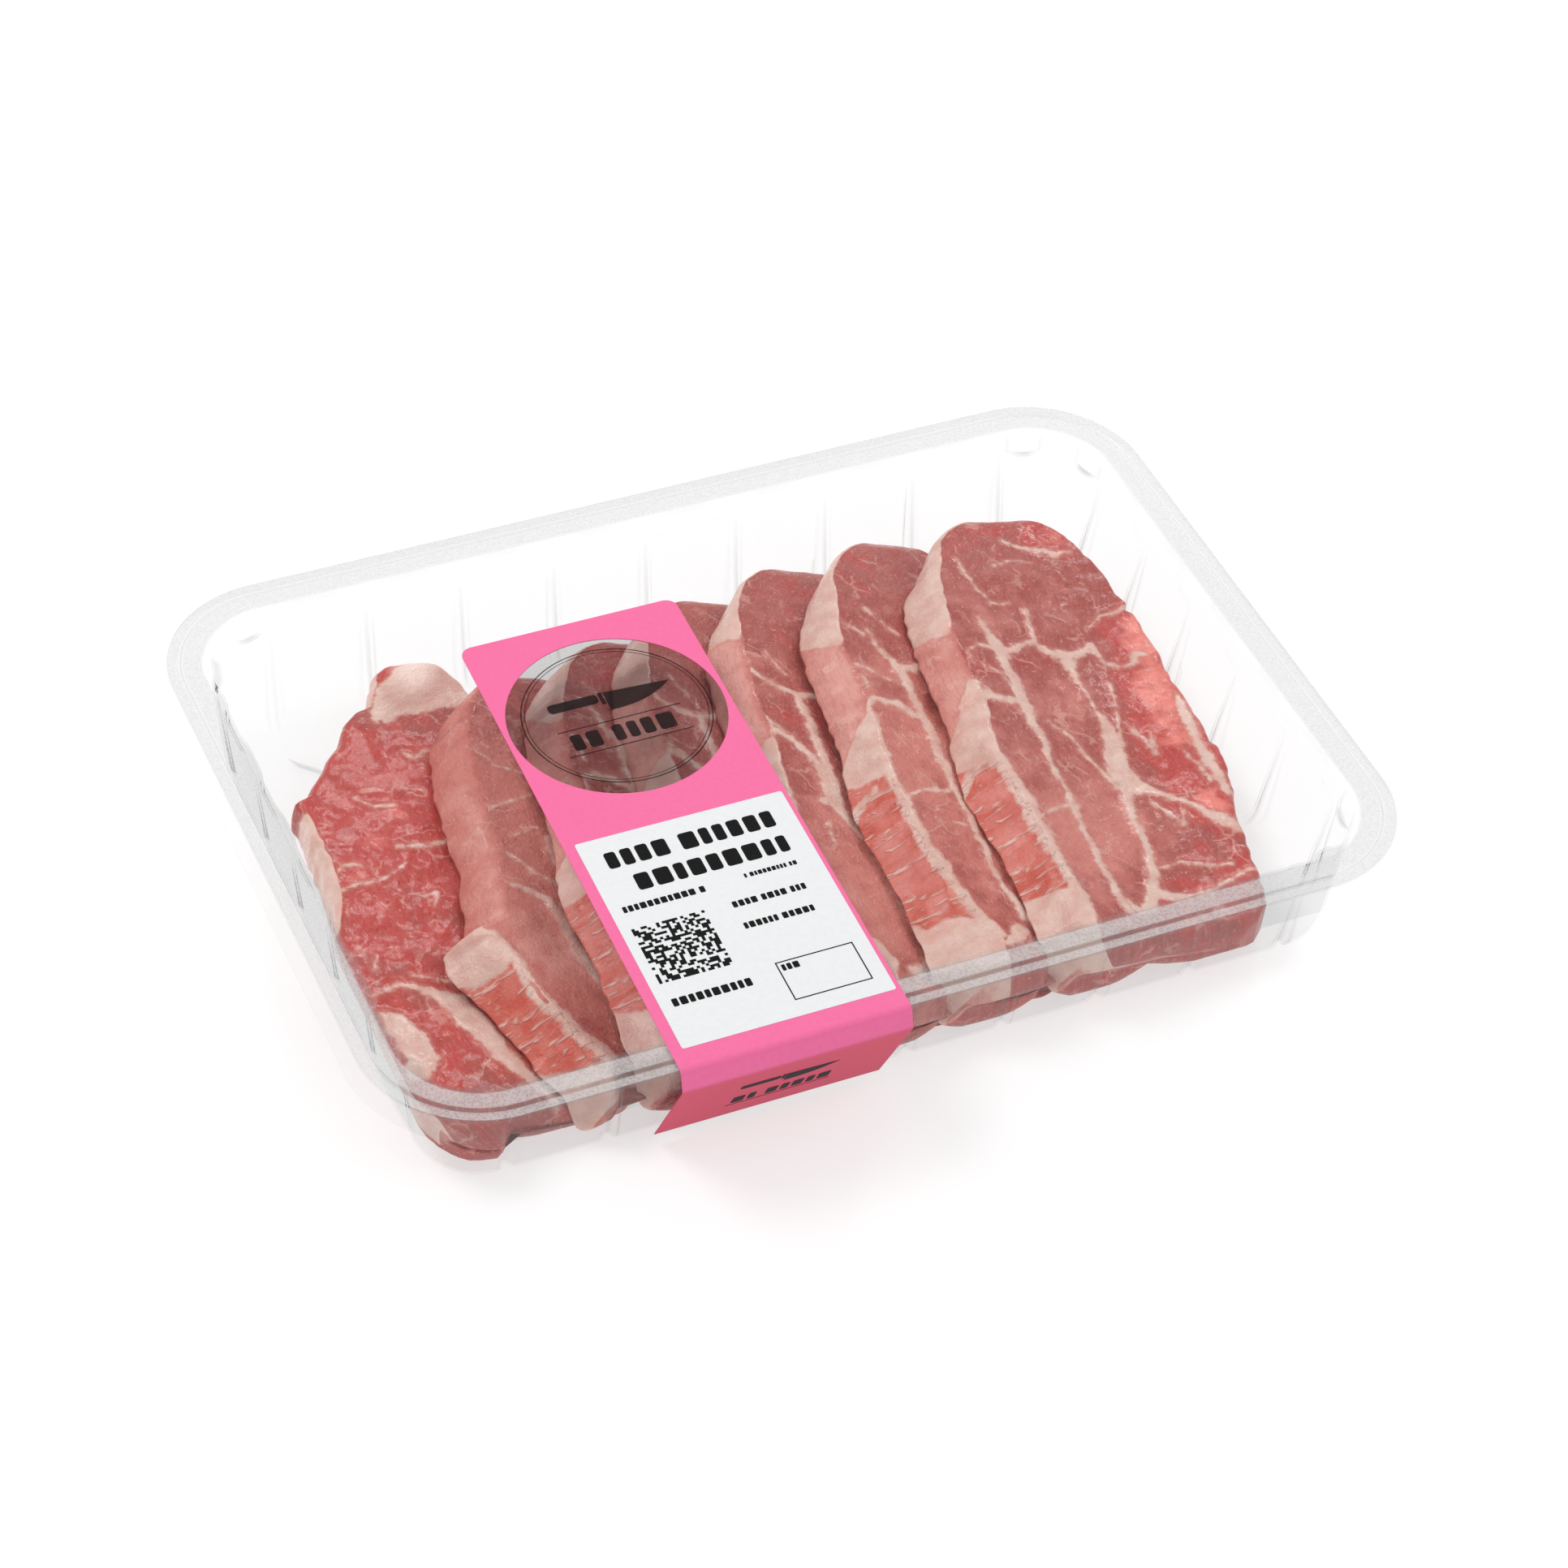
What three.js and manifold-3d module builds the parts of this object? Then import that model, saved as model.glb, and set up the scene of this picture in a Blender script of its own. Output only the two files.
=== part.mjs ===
// Sealed retail pack of raw pork neck steaks: a clear thermoformed tray with a stiffened rim,
// a clear film welded over it, a band label folded down the front, and seven shingled steaks.
// Units are millimetres. X runs along the tray, Y from front to back, Z up, and the origin is
// the centre of the underside of the tray's floor.
import * as THREE from 'three';
import { mergeVertices } from 'three/addons/utils/BufferGeometryUtils.js';
import Module from 'manifold-3d';

const wasm = await Module();
wasm.setup();

// Tray
const TRAY_LENGTH = 260;
const TRAY_WIDTH = 187;
const TRAY_HEIGHT = 35;
const LIP_CORNER_RADIUS = 30.5;
const WALL = 0.8;
const LIP_DROP = 4.5;
const BAND_GROOVE = 0.5;
const WALL_INSET = 11.8;
const WALL_DRAFT = 0.1;
const FLOOR_FILLET = 5;
const CORNER_STEPS = 6;

// Stiffening ribs pressed into the walls, deepest at the floor
const RIB_PITCH = 24.5;
const LONG_RIBS = 9;
const SHORT_RIBS = 6;
const RIB_HALF_WIDTH = 1.5;
const RIB_DEPTH = 2.6;
const CORNER_CLEARANCE = 0.2;

// Gap kept between pieces that touch in the real pack
const GAP = 0.35;

// Film and label
const FILM_THICKNESS = 0.3;
const FILM_INSET = 3;
const LABEL_THICKNESS = 0.3;
const LABEL_WIDTH = 55.5;
const LABEL_CENTRE_X = -34;
const LABEL_BACK_Y = 51.5;
const LABEL_CORNER_RADIUS = 3;
const LABEL_SKEW = 0.021;
const LABEL_FOLD_BEND = 2;
const LABEL_LAP = 6;
const LABEL_FOOT_Z = 2.5;
const WINDOW_RADIUS = 26.5;
const WINDOW_Y = 17.8;
const WINDOW_SEGMENTS = 56;

// Steaks
const SHINGLE_TURN = THREE.MathUtils.degToRad(8);
const SHINGLE_SLOPE = 0.42;
const STEAK_FRONT_Y = -78;
const BACK_TIP_ACROSS = 36;
const LEFT_CURVE_START_Y = 24;
const RIGHT_CURVE_START_Y = 20;
const FRONT_CORNER = 8;
const EDGE_ROUNDING = 2.6;
const EDGE_LEVELS = [0.5, 0.88];
const EDGE_TUCK = 0.35;
const STEAK_STATIONS = 19;
const END_CROWDING = 0.65;
const BACK_ROUNDING = 9;
const BACK_FULLNESS = 0.35;
const FRONT_ROUNDING = 4;
const FRONT_FULLNESS = 0.53;
const FACE_POINTS = 5;
const LOW_FRONT = 3;
const LOW_FRONT_RUN = 30;
const LEAST_THICKNESS = 1.5;
const TIP_BLUNT = 0.4;

// The cut left side leans out below, less so towards the back end, and bellies out near the front
const LEAN_FADE_START_Y = 26;
const LEAN_FADE_RUN = 40;
const LEFT_EDGE_ACROSS = 1;
const BELLY = 3.4;
const BELLY_Y = -22;
const BELLY_RUN = 16;

// Each steak, from the left: where its left side runs, how high it lies there above the tray's
// underside, how thick it was cut, where its back end is, and how far its left side leans. The
// first lies flatter against the wall, the second steps back behind its front corner and veers
// to the right in front, and the last turns level towards the right wall.
const SHINGLED = { slope: SHINGLE_SLOPE, curl: 0, width: 59, lean: 9.5, backStep: 0, veer: 0 };
const STEAKS = [
  { ...SHINGLED, edge: -111, top: 21.5, thick: 12, back: 65, slope: 0.25, width: 58, lean: 1.5 },
  { ...SHINGLED, edge: -84, top: 28, thick: 12, back: 63, backStep: 8, veer: 0.4 },
  { ...SHINGLED, edge: -56.5, top: 28, thick: 11.2, back: 65 },
  { ...SHINGLED, edge: -30, top: 27.6, thick: 10.4, back: 73 },
  { ...SHINGLED, edge: -4.5, top: 27.2, thick: 9.9, back: 77 },
  { ...SHINGLED, edge: 20.7, top: 28.6, thick: 10.7, back: 77 },
  { ...SHINGLED, edge: 48.7, top: 28.4, thick: 12.1, back: 75, curl: 0.0048, width: 63 },
];
const CURL_START = 15;
const BACK_STEP_Y = -28;
const BACK_STEP_RUN = 5;
const VEER_START_Y = -33;

const STRAIGHT_X = TRAY_LENGTH / 2 - LIP_CORNER_RADIUS;
const STRAIGHT_Y = TRAY_WIDTH / 2 - LIP_CORNER_RADIUS;

function clamp01(value) {
  return Math.min(1, Math.max(0, value));
}

function smoothStep(from, to, value) {
  const t = clamp01((value - from) / (to - from));
  return t * t * (3 - 2 * t);
}

// Closed mesh from rings of equal length, capped by a point at each end.
function loftRings(rings) {
  const count = rings[0].length;
  const positions = rings.flat(2);
  const index = [];
  for (let r = 0; r < rings.length - 1; r += 1) {
    const lower = r * count;
    const upper = lower + count;
    for (let k = 0; k < count; k += 1) {
      const next = (k + 1) % count;
      index.push(lower + k, lower + next, upper + next);
      index.push(lower + k, upper + next, upper + k);
    }
  }
  for (const end of [0, rings.length - 1]) {
    const ring = rings[end];
    const centre = [0, 1, 2].map((axis) => ring.reduce((sum, p) => sum + p[axis], 0) / count);
    const apex = positions.length / 3;
    positions.push(...centre);
    for (let k = 0; k < count; k += 1) {
      const a = end * count + k;
      const b = end * count + ((k + 1) % count);
      index.push(...(end === 0 ? [b, a, apex] : [a, b, apex]));
    }
  }
  const geometry = new THREE.BufferGeometry();
  geometry.setAttribute('position', new THREE.Float32BufferAttribute(positions, 3));
  geometry.setIndex(index);
  return geometry;
}

// Marks round the tray, anticlockwise from the front left corner. A mark lies on a straight side
// at a share of its half length, with a rib weight, or on a corner at an angle.
function sideMarks(straight, ribCount) {
  const marks = [];
  for (let k = 0; k < ribCount; k += 1) {
    const centre = (k - (ribCount - 1) / 2) * RIB_PITCH;
    for (const [offset, rib] of [[-RIB_HALF_WIDTH, 0], [0, 1], [RIB_HALF_WIDTH, 0]]) {
      const along = centre + offset;
      if (Math.abs(along) < straight - CORNER_CLEARANCE) {
        marks.push({ along: along / straight, rib });
      }
    }
  }
  return marks;
}

function ringMarks() {
  const marks = [];
  for (let side = 0; side < 4; side += 1) {
    const isLong = side % 2 === 0;
    const list = isLong ? sideMarks(STRAIGHT_X, LONG_RIBS) : sideMarks(STRAIGHT_Y, SHORT_RIBS);
    marks.push(...list.map((mark) => ({ ...mark, side })));
    for (let k = 0; k <= CORNER_STEPS; k += 1) {
      marks.push({ side, corner: k / CORNER_STEPS, rib: 0 });
    }
  }
  return marks;
}

// One ring of the tray: a rounded rectangle set in from the lip, dented inward at each rib.
function trayRing(marks, inset, height, ribDepth) {
  const radius = Math.max(LIP_CORNER_RADIUS - inset, 3);
  const straightX = TRAY_LENGTH / 2 - inset - radius;
  const straightY = TRAY_WIDTH / 2 - inset - radius;
  return marks.map((mark) => {
    const turn = (mark.side * Math.PI) / 2;
    const [alongHalf, outHalf] = mark.side % 2 === 0 ? [straightX, straightY] : [straightY, straightX];
    let along = alongHalf * (mark.along ?? 1);
    let out = outHalf + radius - mark.rib * ribDepth;
    if (mark.corner !== undefined) {
      const angle = (mark.corner * Math.PI) / 2;
      along = alongHalf + radius * Math.sin(angle);
      out = outHalf + radius * Math.cos(angle);
    }
    const x = along * Math.cos(turn) + out * Math.sin(turn);
    const y = along * Math.sin(turn) - out * Math.cos(turn);
    return [x, y, height];
  });
}

// Inset of the wall's inner face at a height above the tray's underside.
function wallInset(height) {
  return WALL_INSET + WALL_DRAFT * (TRAY_HEIGHT - height);
}

// Depth of the ribs at a height: nothing under the rim, full at the floor.
function ribDepthAt(height) {
  return RIB_DEPTH * clamp01((TRAY_HEIGHT - LIP_DROP - height) / (TRAY_HEIGHT - LIP_DROP - FLOOR_FILLET));
}

// The sheet's inner face from the lip, over the rim's two bands and the groove between them,
// down the wall and round the fillet onto the floor. Each point is an inset and a height.
function innerProfile() {
  const top = TRAY_HEIGHT;
  const foot = wallInset(FLOOR_FILLET);
  return [
    [0, top - LIP_DROP],
    [1.9, top - 0.6],
    [2.6, top],
    [5.2, top],
    [5.7, top - BAND_GROOVE],
    [6.5, top - BAND_GROOVE],
    [7, top],
    [10.4, top],
    [11.3, top - 0.7],
    [wallInset(top - 2.5), top - 2.5],
    [foot, FLOOR_FILLET],
    [foot + 1.3, WALL + 1.3],
    [foot + 4, WALL],
  ];
}

// The same profile moved outward and down by the sheet's thickness, square to the sheet.
function outerProfile(inner) {
  return inner.map(([inset, height], k) => {
    const before = inner[Math.max(k - 1, 0)];
    const after = inner[Math.min(k + 1, inner.length - 1)];
    const run = after[0] - before[0];
    const fall = before[1] - after[1];
    const length = Math.hypot(run, fall);
    const isLast = k === inner.length - 1;
    return isLast ? [inset, 0] : [inset - (WALL * fall) / length, height - (WALL * run) / length];
  });
}

function trayGeometry() {
  const marks = ringMarks();
  const inner = innerProfile();
  const outer = outerProfile(inner);
  const ring = ([inset, height], from) => trayRing(marks, inset, height, ribDepthAt(from));
  const underside = outer.map((point, k) => ring(point, inner[k][1])).reverse();
  const inside = inner.map((point, k) => ring(point, inner[k][1]));
  return loftRings([...underside, ...inside]);
}

function roundedRectangle(width, depth, radius) {
  const x = width / 2;
  const y = depth / 2;
  const shape = new THREE.Shape();
  shape.moveTo(-x + radius, -y);
  shape.lineTo(x - radius, -y);
  shape.absarc(x - radius, -y + radius, radius, -Math.PI / 2, 0);
  shape.lineTo(x, y - radius);
  shape.absarc(x - radius, y - radius, radius, 0, Math.PI / 2);
  shape.lineTo(-x + radius, y);
  shape.absarc(-x + radius, y - radius, radius, Math.PI / 2, Math.PI);
  shape.lineTo(-x, -y + radius);
  shape.absarc(-x + radius, -y + radius, radius, Math.PI, Math.PI * 1.5);
  return shape;
}

function filmGeometry() {
  const width = TRAY_LENGTH - 2 * FILM_INSET;
  const depth = TRAY_WIDTH - 2 * FILM_INSET;
  const shape = roundedRectangle(width, depth, LIP_CORNER_RADIUS - FILM_INSET);
  const options = { depth: FILM_THICKNESS, bevelEnabled: false, curveSegments: 8 };
  return new THREE.ExtrudeGeometry(shape, options);
}

function toSolid(geometry) {
  const bare = geometry.clone();
  bare.deleteAttribute('normal');
  bare.deleteAttribute('uv');
  const merged = mergeVertices(bare, 1e-4);
  const mesh = new wasm.Mesh({
    numProp: 3,
    vertProperties: new Float32Array(merged.attributes.position.array),
    triVerts: new Uint32Array(merged.index.array),
  });
  return new wasm.Manifold(mesh);
}

function toGeometry(solid) {
  const mesh = solid.getMesh();
  const geometry = new THREE.BufferGeometry();
  geometry.setAttribute('position', new THREE.BufferAttribute(new Float32Array(mesh.vertProperties), 3));
  geometry.setIndex(new THREE.BufferAttribute(new Uint32Array(mesh.triVerts), 1));
  return geometry;
}

// The part of the label that lies on the film: a strip with round back corners and a round
// window, long enough to run into the fold at the front.
function labelTop(underside) {
  const half = LABEL_WIDTH / 2;
  const radius = LABEL_CORNER_RADIUS;
  const front = -TRAY_WIDTH / 2 + LABEL_LAP / 2;
  const shape = new THREE.Shape();
  shape.moveTo(-half, front);
  shape.lineTo(half, front);
  shape.lineTo(half, LABEL_BACK_Y - radius);
  shape.absarc(half - radius, LABEL_BACK_Y - radius, radius, 0, Math.PI / 2);
  shape.lineTo(-half + radius, LABEL_BACK_Y);
  shape.absarc(-half + radius, LABEL_BACK_Y - radius, radius, Math.PI / 2, Math.PI);
  const hole = new THREE.Path();
  hole.absarc(0, WINDOW_Y, WINDOW_RADIUS, 0, Math.PI * 2, true);
  shape.holes.push(hole);
  const options = { depth: LABEL_THICKNESS, bevelEnabled: false, curveSegments: WINDOW_SEGMENTS / 2 };
  return new THREE.ExtrudeGeometry(shape, options).translate(0, 0, underside);
}

// The folded part: over the rim, down past the lip, then slanting back to the tray's foot.
function labelFront(underside) {
  const lip = -TRAY_WIDTH / 2 - GAP;
  const skirtSlant = LABEL_FOLD_BEND / 2;
  const footY = -TRAY_WIDTH / 2 + wallInset(FLOOR_FILLET) - WALL - GAP;
  const faceLine = [
    [lip + LABEL_LAP, underside],
    [lip + skirtSlant + LABEL_FOLD_BEND, underside],
    [lip + skirtSlant, underside - LABEL_FOLD_BEND],
    [lip, TRAY_HEIGHT - LIP_DROP],
    [footY, LABEL_FOOT_Z],
  ];
  const outside = faceLine.map(([y, z], k) => {
    const before = faceLine[Math.max(k - 1, 0)];
    const after = faceLine[Math.min(k + 1, faceLine.length - 1)];
    const length = Math.hypot(after[0] - before[0], after[1] - before[1]);
    const normalY = (after[1] - before[1]) / length;
    const normalZ = (before[0] - after[0]) / length;
    return [y + normalY * LABEL_THICKNESS, z + normalZ * LABEL_THICKNESS];
  });
  const outline = [...faceLine, ...outside.reverse()].map(([y, z]) => new THREE.Vector2(y, z));
  const shape = new THREE.Shape(outline);
  const geometry = new THREE.ExtrudeGeometry(shape, { depth: LABEL_WIDTH, bevelEnabled: false });
  const axes = new THREE.Matrix4().makeBasis(
    new THREE.Vector3(0, 1, 0),
    new THREE.Vector3(0, 0, 1),
    new THREE.Vector3(1, 0, 0),
  );
  return geometry.applyMatrix4(axes).translate(-LABEL_WIDTH / 2, 0, 0);
}

function labelGeometry(underside) {
  const joined = toSolid(labelTop(underside)).add(toSolid(labelFront(underside)));
  const skew = new THREE.Matrix4().makeShear(0, 0, LABEL_SKEW, 0, 0, 0);
  return toGeometry(joined).applyMatrix4(skew).translate(LABEL_CENTRE_X, 0, 0);
}

function windowGeometry() {
  const radius = WINDOW_RADIUS - GAP;
  const disc = new THREE.CylinderGeometry(radius, radius, LABEL_THICKNESS, WINDOW_SEGMENTS);
  return disc.rotateX(Math.PI / 2);
}

// Height of a steak's upper face. Across is the distance from the line of its upper left edge,
// square to the shingle.
function faceHeight(steak, across) {
  const bent = Math.max(0, across - CURL_START);
  return steak.top - steak.slope * across + steak.curl * bent * bent;
}

// Height of its lower face: its own thickness down, but no lower than the steak beneath it or
// the tray's floor.
function lowerHeight(number, across) {
  const steak = STEAKS[number];
  const below = STEAKS[number - 1];
  const resting = below ? faceHeight(below, across + steak.edge - below.edge) + GAP : 0;
  return Math.max(faceHeight(steak, across) - steak.thick, resting, WALL + GAP);
}

// The two long edges at a place along the steak, half way down its sides. Each swings in as a
// quarter ellipse to the round back end, and the square front end has rounded corners.
function edgesAt(steak, y) {
  const quarter = (start) => {
    const t = clamp01((y - start) / (steak.back - start));
    return Math.sqrt(1 - t * t);
  };
  const step = steak.backStep * smoothStep(BACK_STEP_Y, BACK_STEP_Y + BACK_STEP_RUN, y);
  const belly = BELLY * Math.exp(-(((y - BELLY_Y) / BELLY_RUN) ** 2));
  const veer = steak.veer * Math.max(0, VEER_START_Y - y);
  const side = LEFT_EDGE_ACROSS + step + veer - belly;
  const fromFront = clamp01((y - STEAK_FRONT_Y) / FRONT_CORNER);
  const corner = FRONT_CORNER * (1 - Math.sqrt(1 - (1 - fromFront) ** 2));
  return {
    left: side + (BACK_TIP_ACROSS - side) * (1 - quarter(LEFT_CURVE_START_Y)) + corner,
    right: BACK_TIP_ACROSS + (steak.width - BACK_TIP_ACROSS) * quarter(RIGHT_CURVE_START_Y) - corner,
  };
}

// Keeps a point inside the tray's walls, clear of their ribs and of the fillet at the floor.
function insideTray(x, y, height) {
  const fillet = FLOOR_FILLET * clamp01((FLOOR_FILLET - height) / (FLOOR_FILLET - WALL)) ** 2;
  const inset = wallInset(height) + ribDepthAt(height) + fillet + GAP;
  const radius = LIP_CORNER_RADIUS - inset;
  const cornerX = Math.sign(x) * Math.min(Math.abs(x), STRAIGHT_X);
  const cornerY = Math.sign(y) * Math.min(Math.abs(y), STRAIGHT_Y);
  const reach = Math.hypot(x - cornerX, y - cornerY);
  const scale = reach > radius ? radius / reach : 1;
  return [cornerX + (x - cornerX) * scale, cornerY + (y - cornerY) * scale];
}

// One cross section of a steak: round cut edges and flat faces, as points that hold how far
// across they lie and their share of the thickness, from -1 below to 1 above.
function sectionLoop(left, right) {
  const rounding = Math.min(EDGE_ROUNDING, (right - left) / 3);
  const loop = [];
  const face = (level, reverse) => {
    for (let k = 0; k < FACE_POINTS; k += 1) {
      const share = k / (FACE_POINTS - 1);
      const across = left + rounding + (right - left - 2 * rounding) * (reverse ? 1 - share : share);
      loop.push([across, level]);
    }
  };
  const tuck = EDGE_TUCK * rounding;
  const [low, high] = EDGE_LEVELS;
  loop.push([left, -low], [left + tuck, -high]);
  face(-1, false);
  loop.push([right - tuck, -high], [right, -low], [right, low], [right - tuck, high]);
  face(1, true);
  loop.push([left + tuck, high], [left, low]);
  return loop;
}

// Share of the full thickness at a place along the steak, less over the rounding of each end.
function endFullness(steak, y) {
  const rounding = (distance, length, least) => {
    const t = clamp01(1 - distance / length);
    return Math.sqrt(1 - (1 - least ** 2) * t * t);
  };
  const atBack = rounding(steak.back - y, BACK_ROUNDING, BACK_FULLNESS);
  return Math.min(atBack, rounding(y - STEAK_FRONT_Y, FRONT_ROUNDING, FRONT_FULLNESS));
}

function steakGeometry(number) {
  const steak = STEAKS[number];
  const length = steak.back - STEAK_FRONT_Y;
  const rings = [];
  for (let k = 0; k < STEAK_STATIONS; k += 1) {
    const share = k / (STEAK_STATIONS - 1);
    const eased = (1 - Math.cos(Math.PI * share)) / 2;
    const y = STEAK_FRONT_Y + length * ((1 - END_CROWDING) * share + END_CROWDING * eased);
    const { left, right } = edgesAt(steak, Math.min(y, steak.back - TIP_BLUNT));
    const lean = steak.lean * (1 - smoothStep(LEAN_FADE_START_Y, LEAN_FADE_START_Y + LEAN_FADE_RUN, y));
    const fullness = endFullness(steak, y);
    const frontShare = 1 - smoothStep(STEAK_FRONT_Y, STEAK_FRONT_Y + LOW_FRONT_RUN, y);
    rings.push(sectionLoop(left, right).map(([across, level]) => {
      const depth = (1 - level) / 2;
      const toLeft = 1 - (across - left) / (right - left);
      const placed = across + (lean * level * toLeft) / 2;
      const upper = faceHeight(steak, placed);
      const lower = Math.min(lowerHeight(number, placed), upper - LEAST_THICKNESS);
      const z = (upper + lower) / 2 + ((upper - lower) / 2) * level * fullness;
      const pushedY = y + LOW_FRONT * depth * frontShare;
      const x = (steak.edge + placed + pushedY * Math.sin(SHINGLE_TURN)) / Math.cos(SHINGLE_TURN);
      return [...insideTray(x, pushedY, z), z];
    }));
  }
  return loftRings(rings.map((ring) => ring.reverse()));
}

function addMesh(group, name, geometry, material) {
  const mesh = new THREE.Mesh(geometry, material);
  mesh.name = name;
  group.add(mesh);
  return mesh;
}

function plastic(color, opacity, roughness) {
  const transparent = opacity < 1;
  return new THREE.MeshStandardMaterial({ color, opacity, transparent, roughness, metalness: 0 });
}

const filmHeight = TRAY_HEIGHT + GAP;
const labelHeight = filmHeight + FILM_THICKNESS + GAP;

const pack = new THREE.Group();

addMesh(pack, 'tray', trayGeometry(), plastic(0xf3f4f4, 0.35, 0.15));

const film = addMesh(pack, 'lid_film', filmGeometry(), plastic(0xf8f8f8, 0.15, 0.1));
film.position.z = filmHeight;

addMesh(pack, 'label_band', labelGeometry(labelHeight), plastic(0xf783b2, 1, 0.45));

const pane = addMesh(pack, 'label_window', windowGeometry(), plastic(0x6b5a5c, 0.45, 0.4));
pane.position.set(LABEL_CENTRE_X + LABEL_SKEW * WINDOW_Y, WINDOW_Y, labelHeight + LABEL_THICKNESS / 2);

const meat = new THREE.Group();
pack.add(meat);
STEAKS.forEach((steak, number) => {
  const lean = new THREE.MeshStandardMaterial({ color: 0xbf6f69, roughness: 0.4, metalness: 0 });
  addMesh(meat, `steak_${number + 1}`, steakGeometry(number), lean);
});

export default pack;
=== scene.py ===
import math

import bmesh
import bpy
import numpy as np
from mathutils import Matrix, Vector


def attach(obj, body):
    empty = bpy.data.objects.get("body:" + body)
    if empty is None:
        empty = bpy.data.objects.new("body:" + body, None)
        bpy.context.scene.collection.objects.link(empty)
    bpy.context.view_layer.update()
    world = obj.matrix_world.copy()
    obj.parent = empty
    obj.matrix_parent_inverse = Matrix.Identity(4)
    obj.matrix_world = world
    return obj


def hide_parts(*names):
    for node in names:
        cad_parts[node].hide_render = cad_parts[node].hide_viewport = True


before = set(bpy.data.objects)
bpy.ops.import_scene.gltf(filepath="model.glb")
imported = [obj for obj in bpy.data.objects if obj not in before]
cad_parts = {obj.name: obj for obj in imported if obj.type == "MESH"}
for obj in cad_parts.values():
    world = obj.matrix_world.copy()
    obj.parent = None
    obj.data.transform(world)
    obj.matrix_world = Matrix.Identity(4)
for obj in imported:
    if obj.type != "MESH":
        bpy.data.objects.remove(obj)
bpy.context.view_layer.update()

# The camera stands in front of the pack and to its left, a little tilted, and looks down on the
# film. Its place is measured from the centre of the tray's underside.
CAMERA_PLACE = (-0.34317, -0.67388, 0.74112)
CAMERA_AZIMUTH = math.radians(-27.175)
CAMERA_HEIGHT = math.radians(43.708)
CAMERA_ROLL = math.radians(4.845)
CAMERA_LENS_MM = 100.9

camera = bpy.data.objects.new("camera", bpy.data.cameras.new("camera"))
bpy.context.scene.collection.objects.link(camera)
bpy.context.scene.camera = camera
camera.data.lens = CAMERA_LENS_MM
camera.data.sensor_width = 36.0
camera.data.clip_start = 0.01
camera.data.clip_end = 20.0
backward = Vector((
    math.sin(CAMERA_AZIMUTH) * math.cos(CAMERA_HEIGHT),
    -math.cos(CAMERA_AZIMUTH) * math.cos(CAMERA_HEIGHT),
    math.sin(CAMERA_HEIGHT),
))
level_right = (-backward).cross(Vector((0, 0, 1))).normalized()
level_up = level_right.cross(-backward)
camera_right = level_right * math.cos(CAMERA_ROLL) + level_up * math.sin(CAMERA_ROLL)
camera_up = level_up * math.cos(CAMERA_ROLL) - level_right * math.sin(CAMERA_ROLL)
turned = Matrix((camera_right, camera_up, backward)).transposed().to_4x4()
camera.matrix_world = Matrix.Translation(CAMERA_PLACE) @ turned


# A white sweep of matt board under the pack, lit evenly from all round. A large soft box stands
# behind on the left, a wide faint one in front on the right, and a small one behind on the right,
# which give the moist meat and the plastic their small highlights.
FLOOR_SIZE = 12.0
FLOOR_BELOW = -0.0003
FLOOR_GLOW = 0.63
SKY_STRENGTH = 0.6
SOFT_BOXES = (
    ("key_box", (-0.9, 0.9, 1.7), 0.9, 17.0),
    ("fill_box", (1.3, -0.8, 1.6), 1.3, 8.0),
    ("sparkle_box", (1.1, 1.35, 1.1), 0.35, 4.0),
)


def from_hex(text):
    """An sRGB hex colour as linear red, green, blue and alpha: each channel over 12.92 when it is
    dark, or else the channel plus 0.055, over 1.055, to the power 2.4."""
    channels = [int(text[k:k + 2], 16) / 255 for k in (1, 3, 5)]
    linear = [c / 12.92 if c <= 0.04045 else ((c + 0.055) / 1.055) ** 2.4 for c in channels]
    return (*linear, 1.0)


def add_node(tree, kind, links=(), **settings):
    """Adds a node. A setting that names an input sets its value, and any other sets the node's
    own property. Each link joins an output to the input that it names."""
    node = tree.nodes.new(kind)
    for name, value in settings.items():
        socket = node.inputs.get(name.replace("_", " "))
        if socket is None:
            setattr(node, name, value)
        else:
            socket.default_value = value
    for target, output in dict(links).items():
        tree.links.new(output, node.inputs[target])
    return node


def new_material(name):
    """An empty node material, with its tree and output node."""
    material = bpy.data.materials.new(name)
    material.use_nodes = True
    material.node_tree.nodes.clear()
    output = material.node_tree.nodes.new("ShaderNodeOutputMaterial")
    return material, material.node_tree, output


def new_piece(name, mesh, material):
    """An object at the origin that shows a mesh with one material."""
    piece = bpy.data.objects.new(name, mesh)
    bpy.context.scene.collection.objects.link(piece)
    mesh.materials.append(material)
    return piece


def surface(links=(), **settings):
    """Joins one principled shader to the material's output."""
    shader = add_node(tree, "ShaderNodeBsdfPrincipled", links, **settings)
    tree.links.new(shader.outputs["BSDF"], output.inputs["Surface"])


matt_board, tree, output = new_material("matt_white_board")
surface(
    Base_Color=from_hex("#aaaaaa"), Roughness=0.9, Emission_Color=from_hex("#ffffff"),
    Emission_Strength=FLOOR_GLOW,
)
floor_mesh = bpy.data.meshes.new("floor")
half = FLOOR_SIZE / 2
floor_corners = [(-half, -half, 0), (half, -half, 0), (half, half, 0), (-half, half, 0)]
floor_mesh.from_pydata(floor_corners, [], [(0, 1, 2, 3)])
floor = new_piece("floor", floor_mesh, matt_board)
floor.location.z = FLOOR_BELOW

world = bpy.data.worlds.new("even_light")
world.use_nodes = True
world.node_tree.nodes["Background"].inputs["Color"].default_value = from_hex("#ffffff")
world.node_tree.nodes["Background"].inputs["Strength"].default_value = SKY_STRENGTH
bpy.context.scene.world = world
bpy.context.scene.view_settings.view_transform = "Standard"

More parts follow.
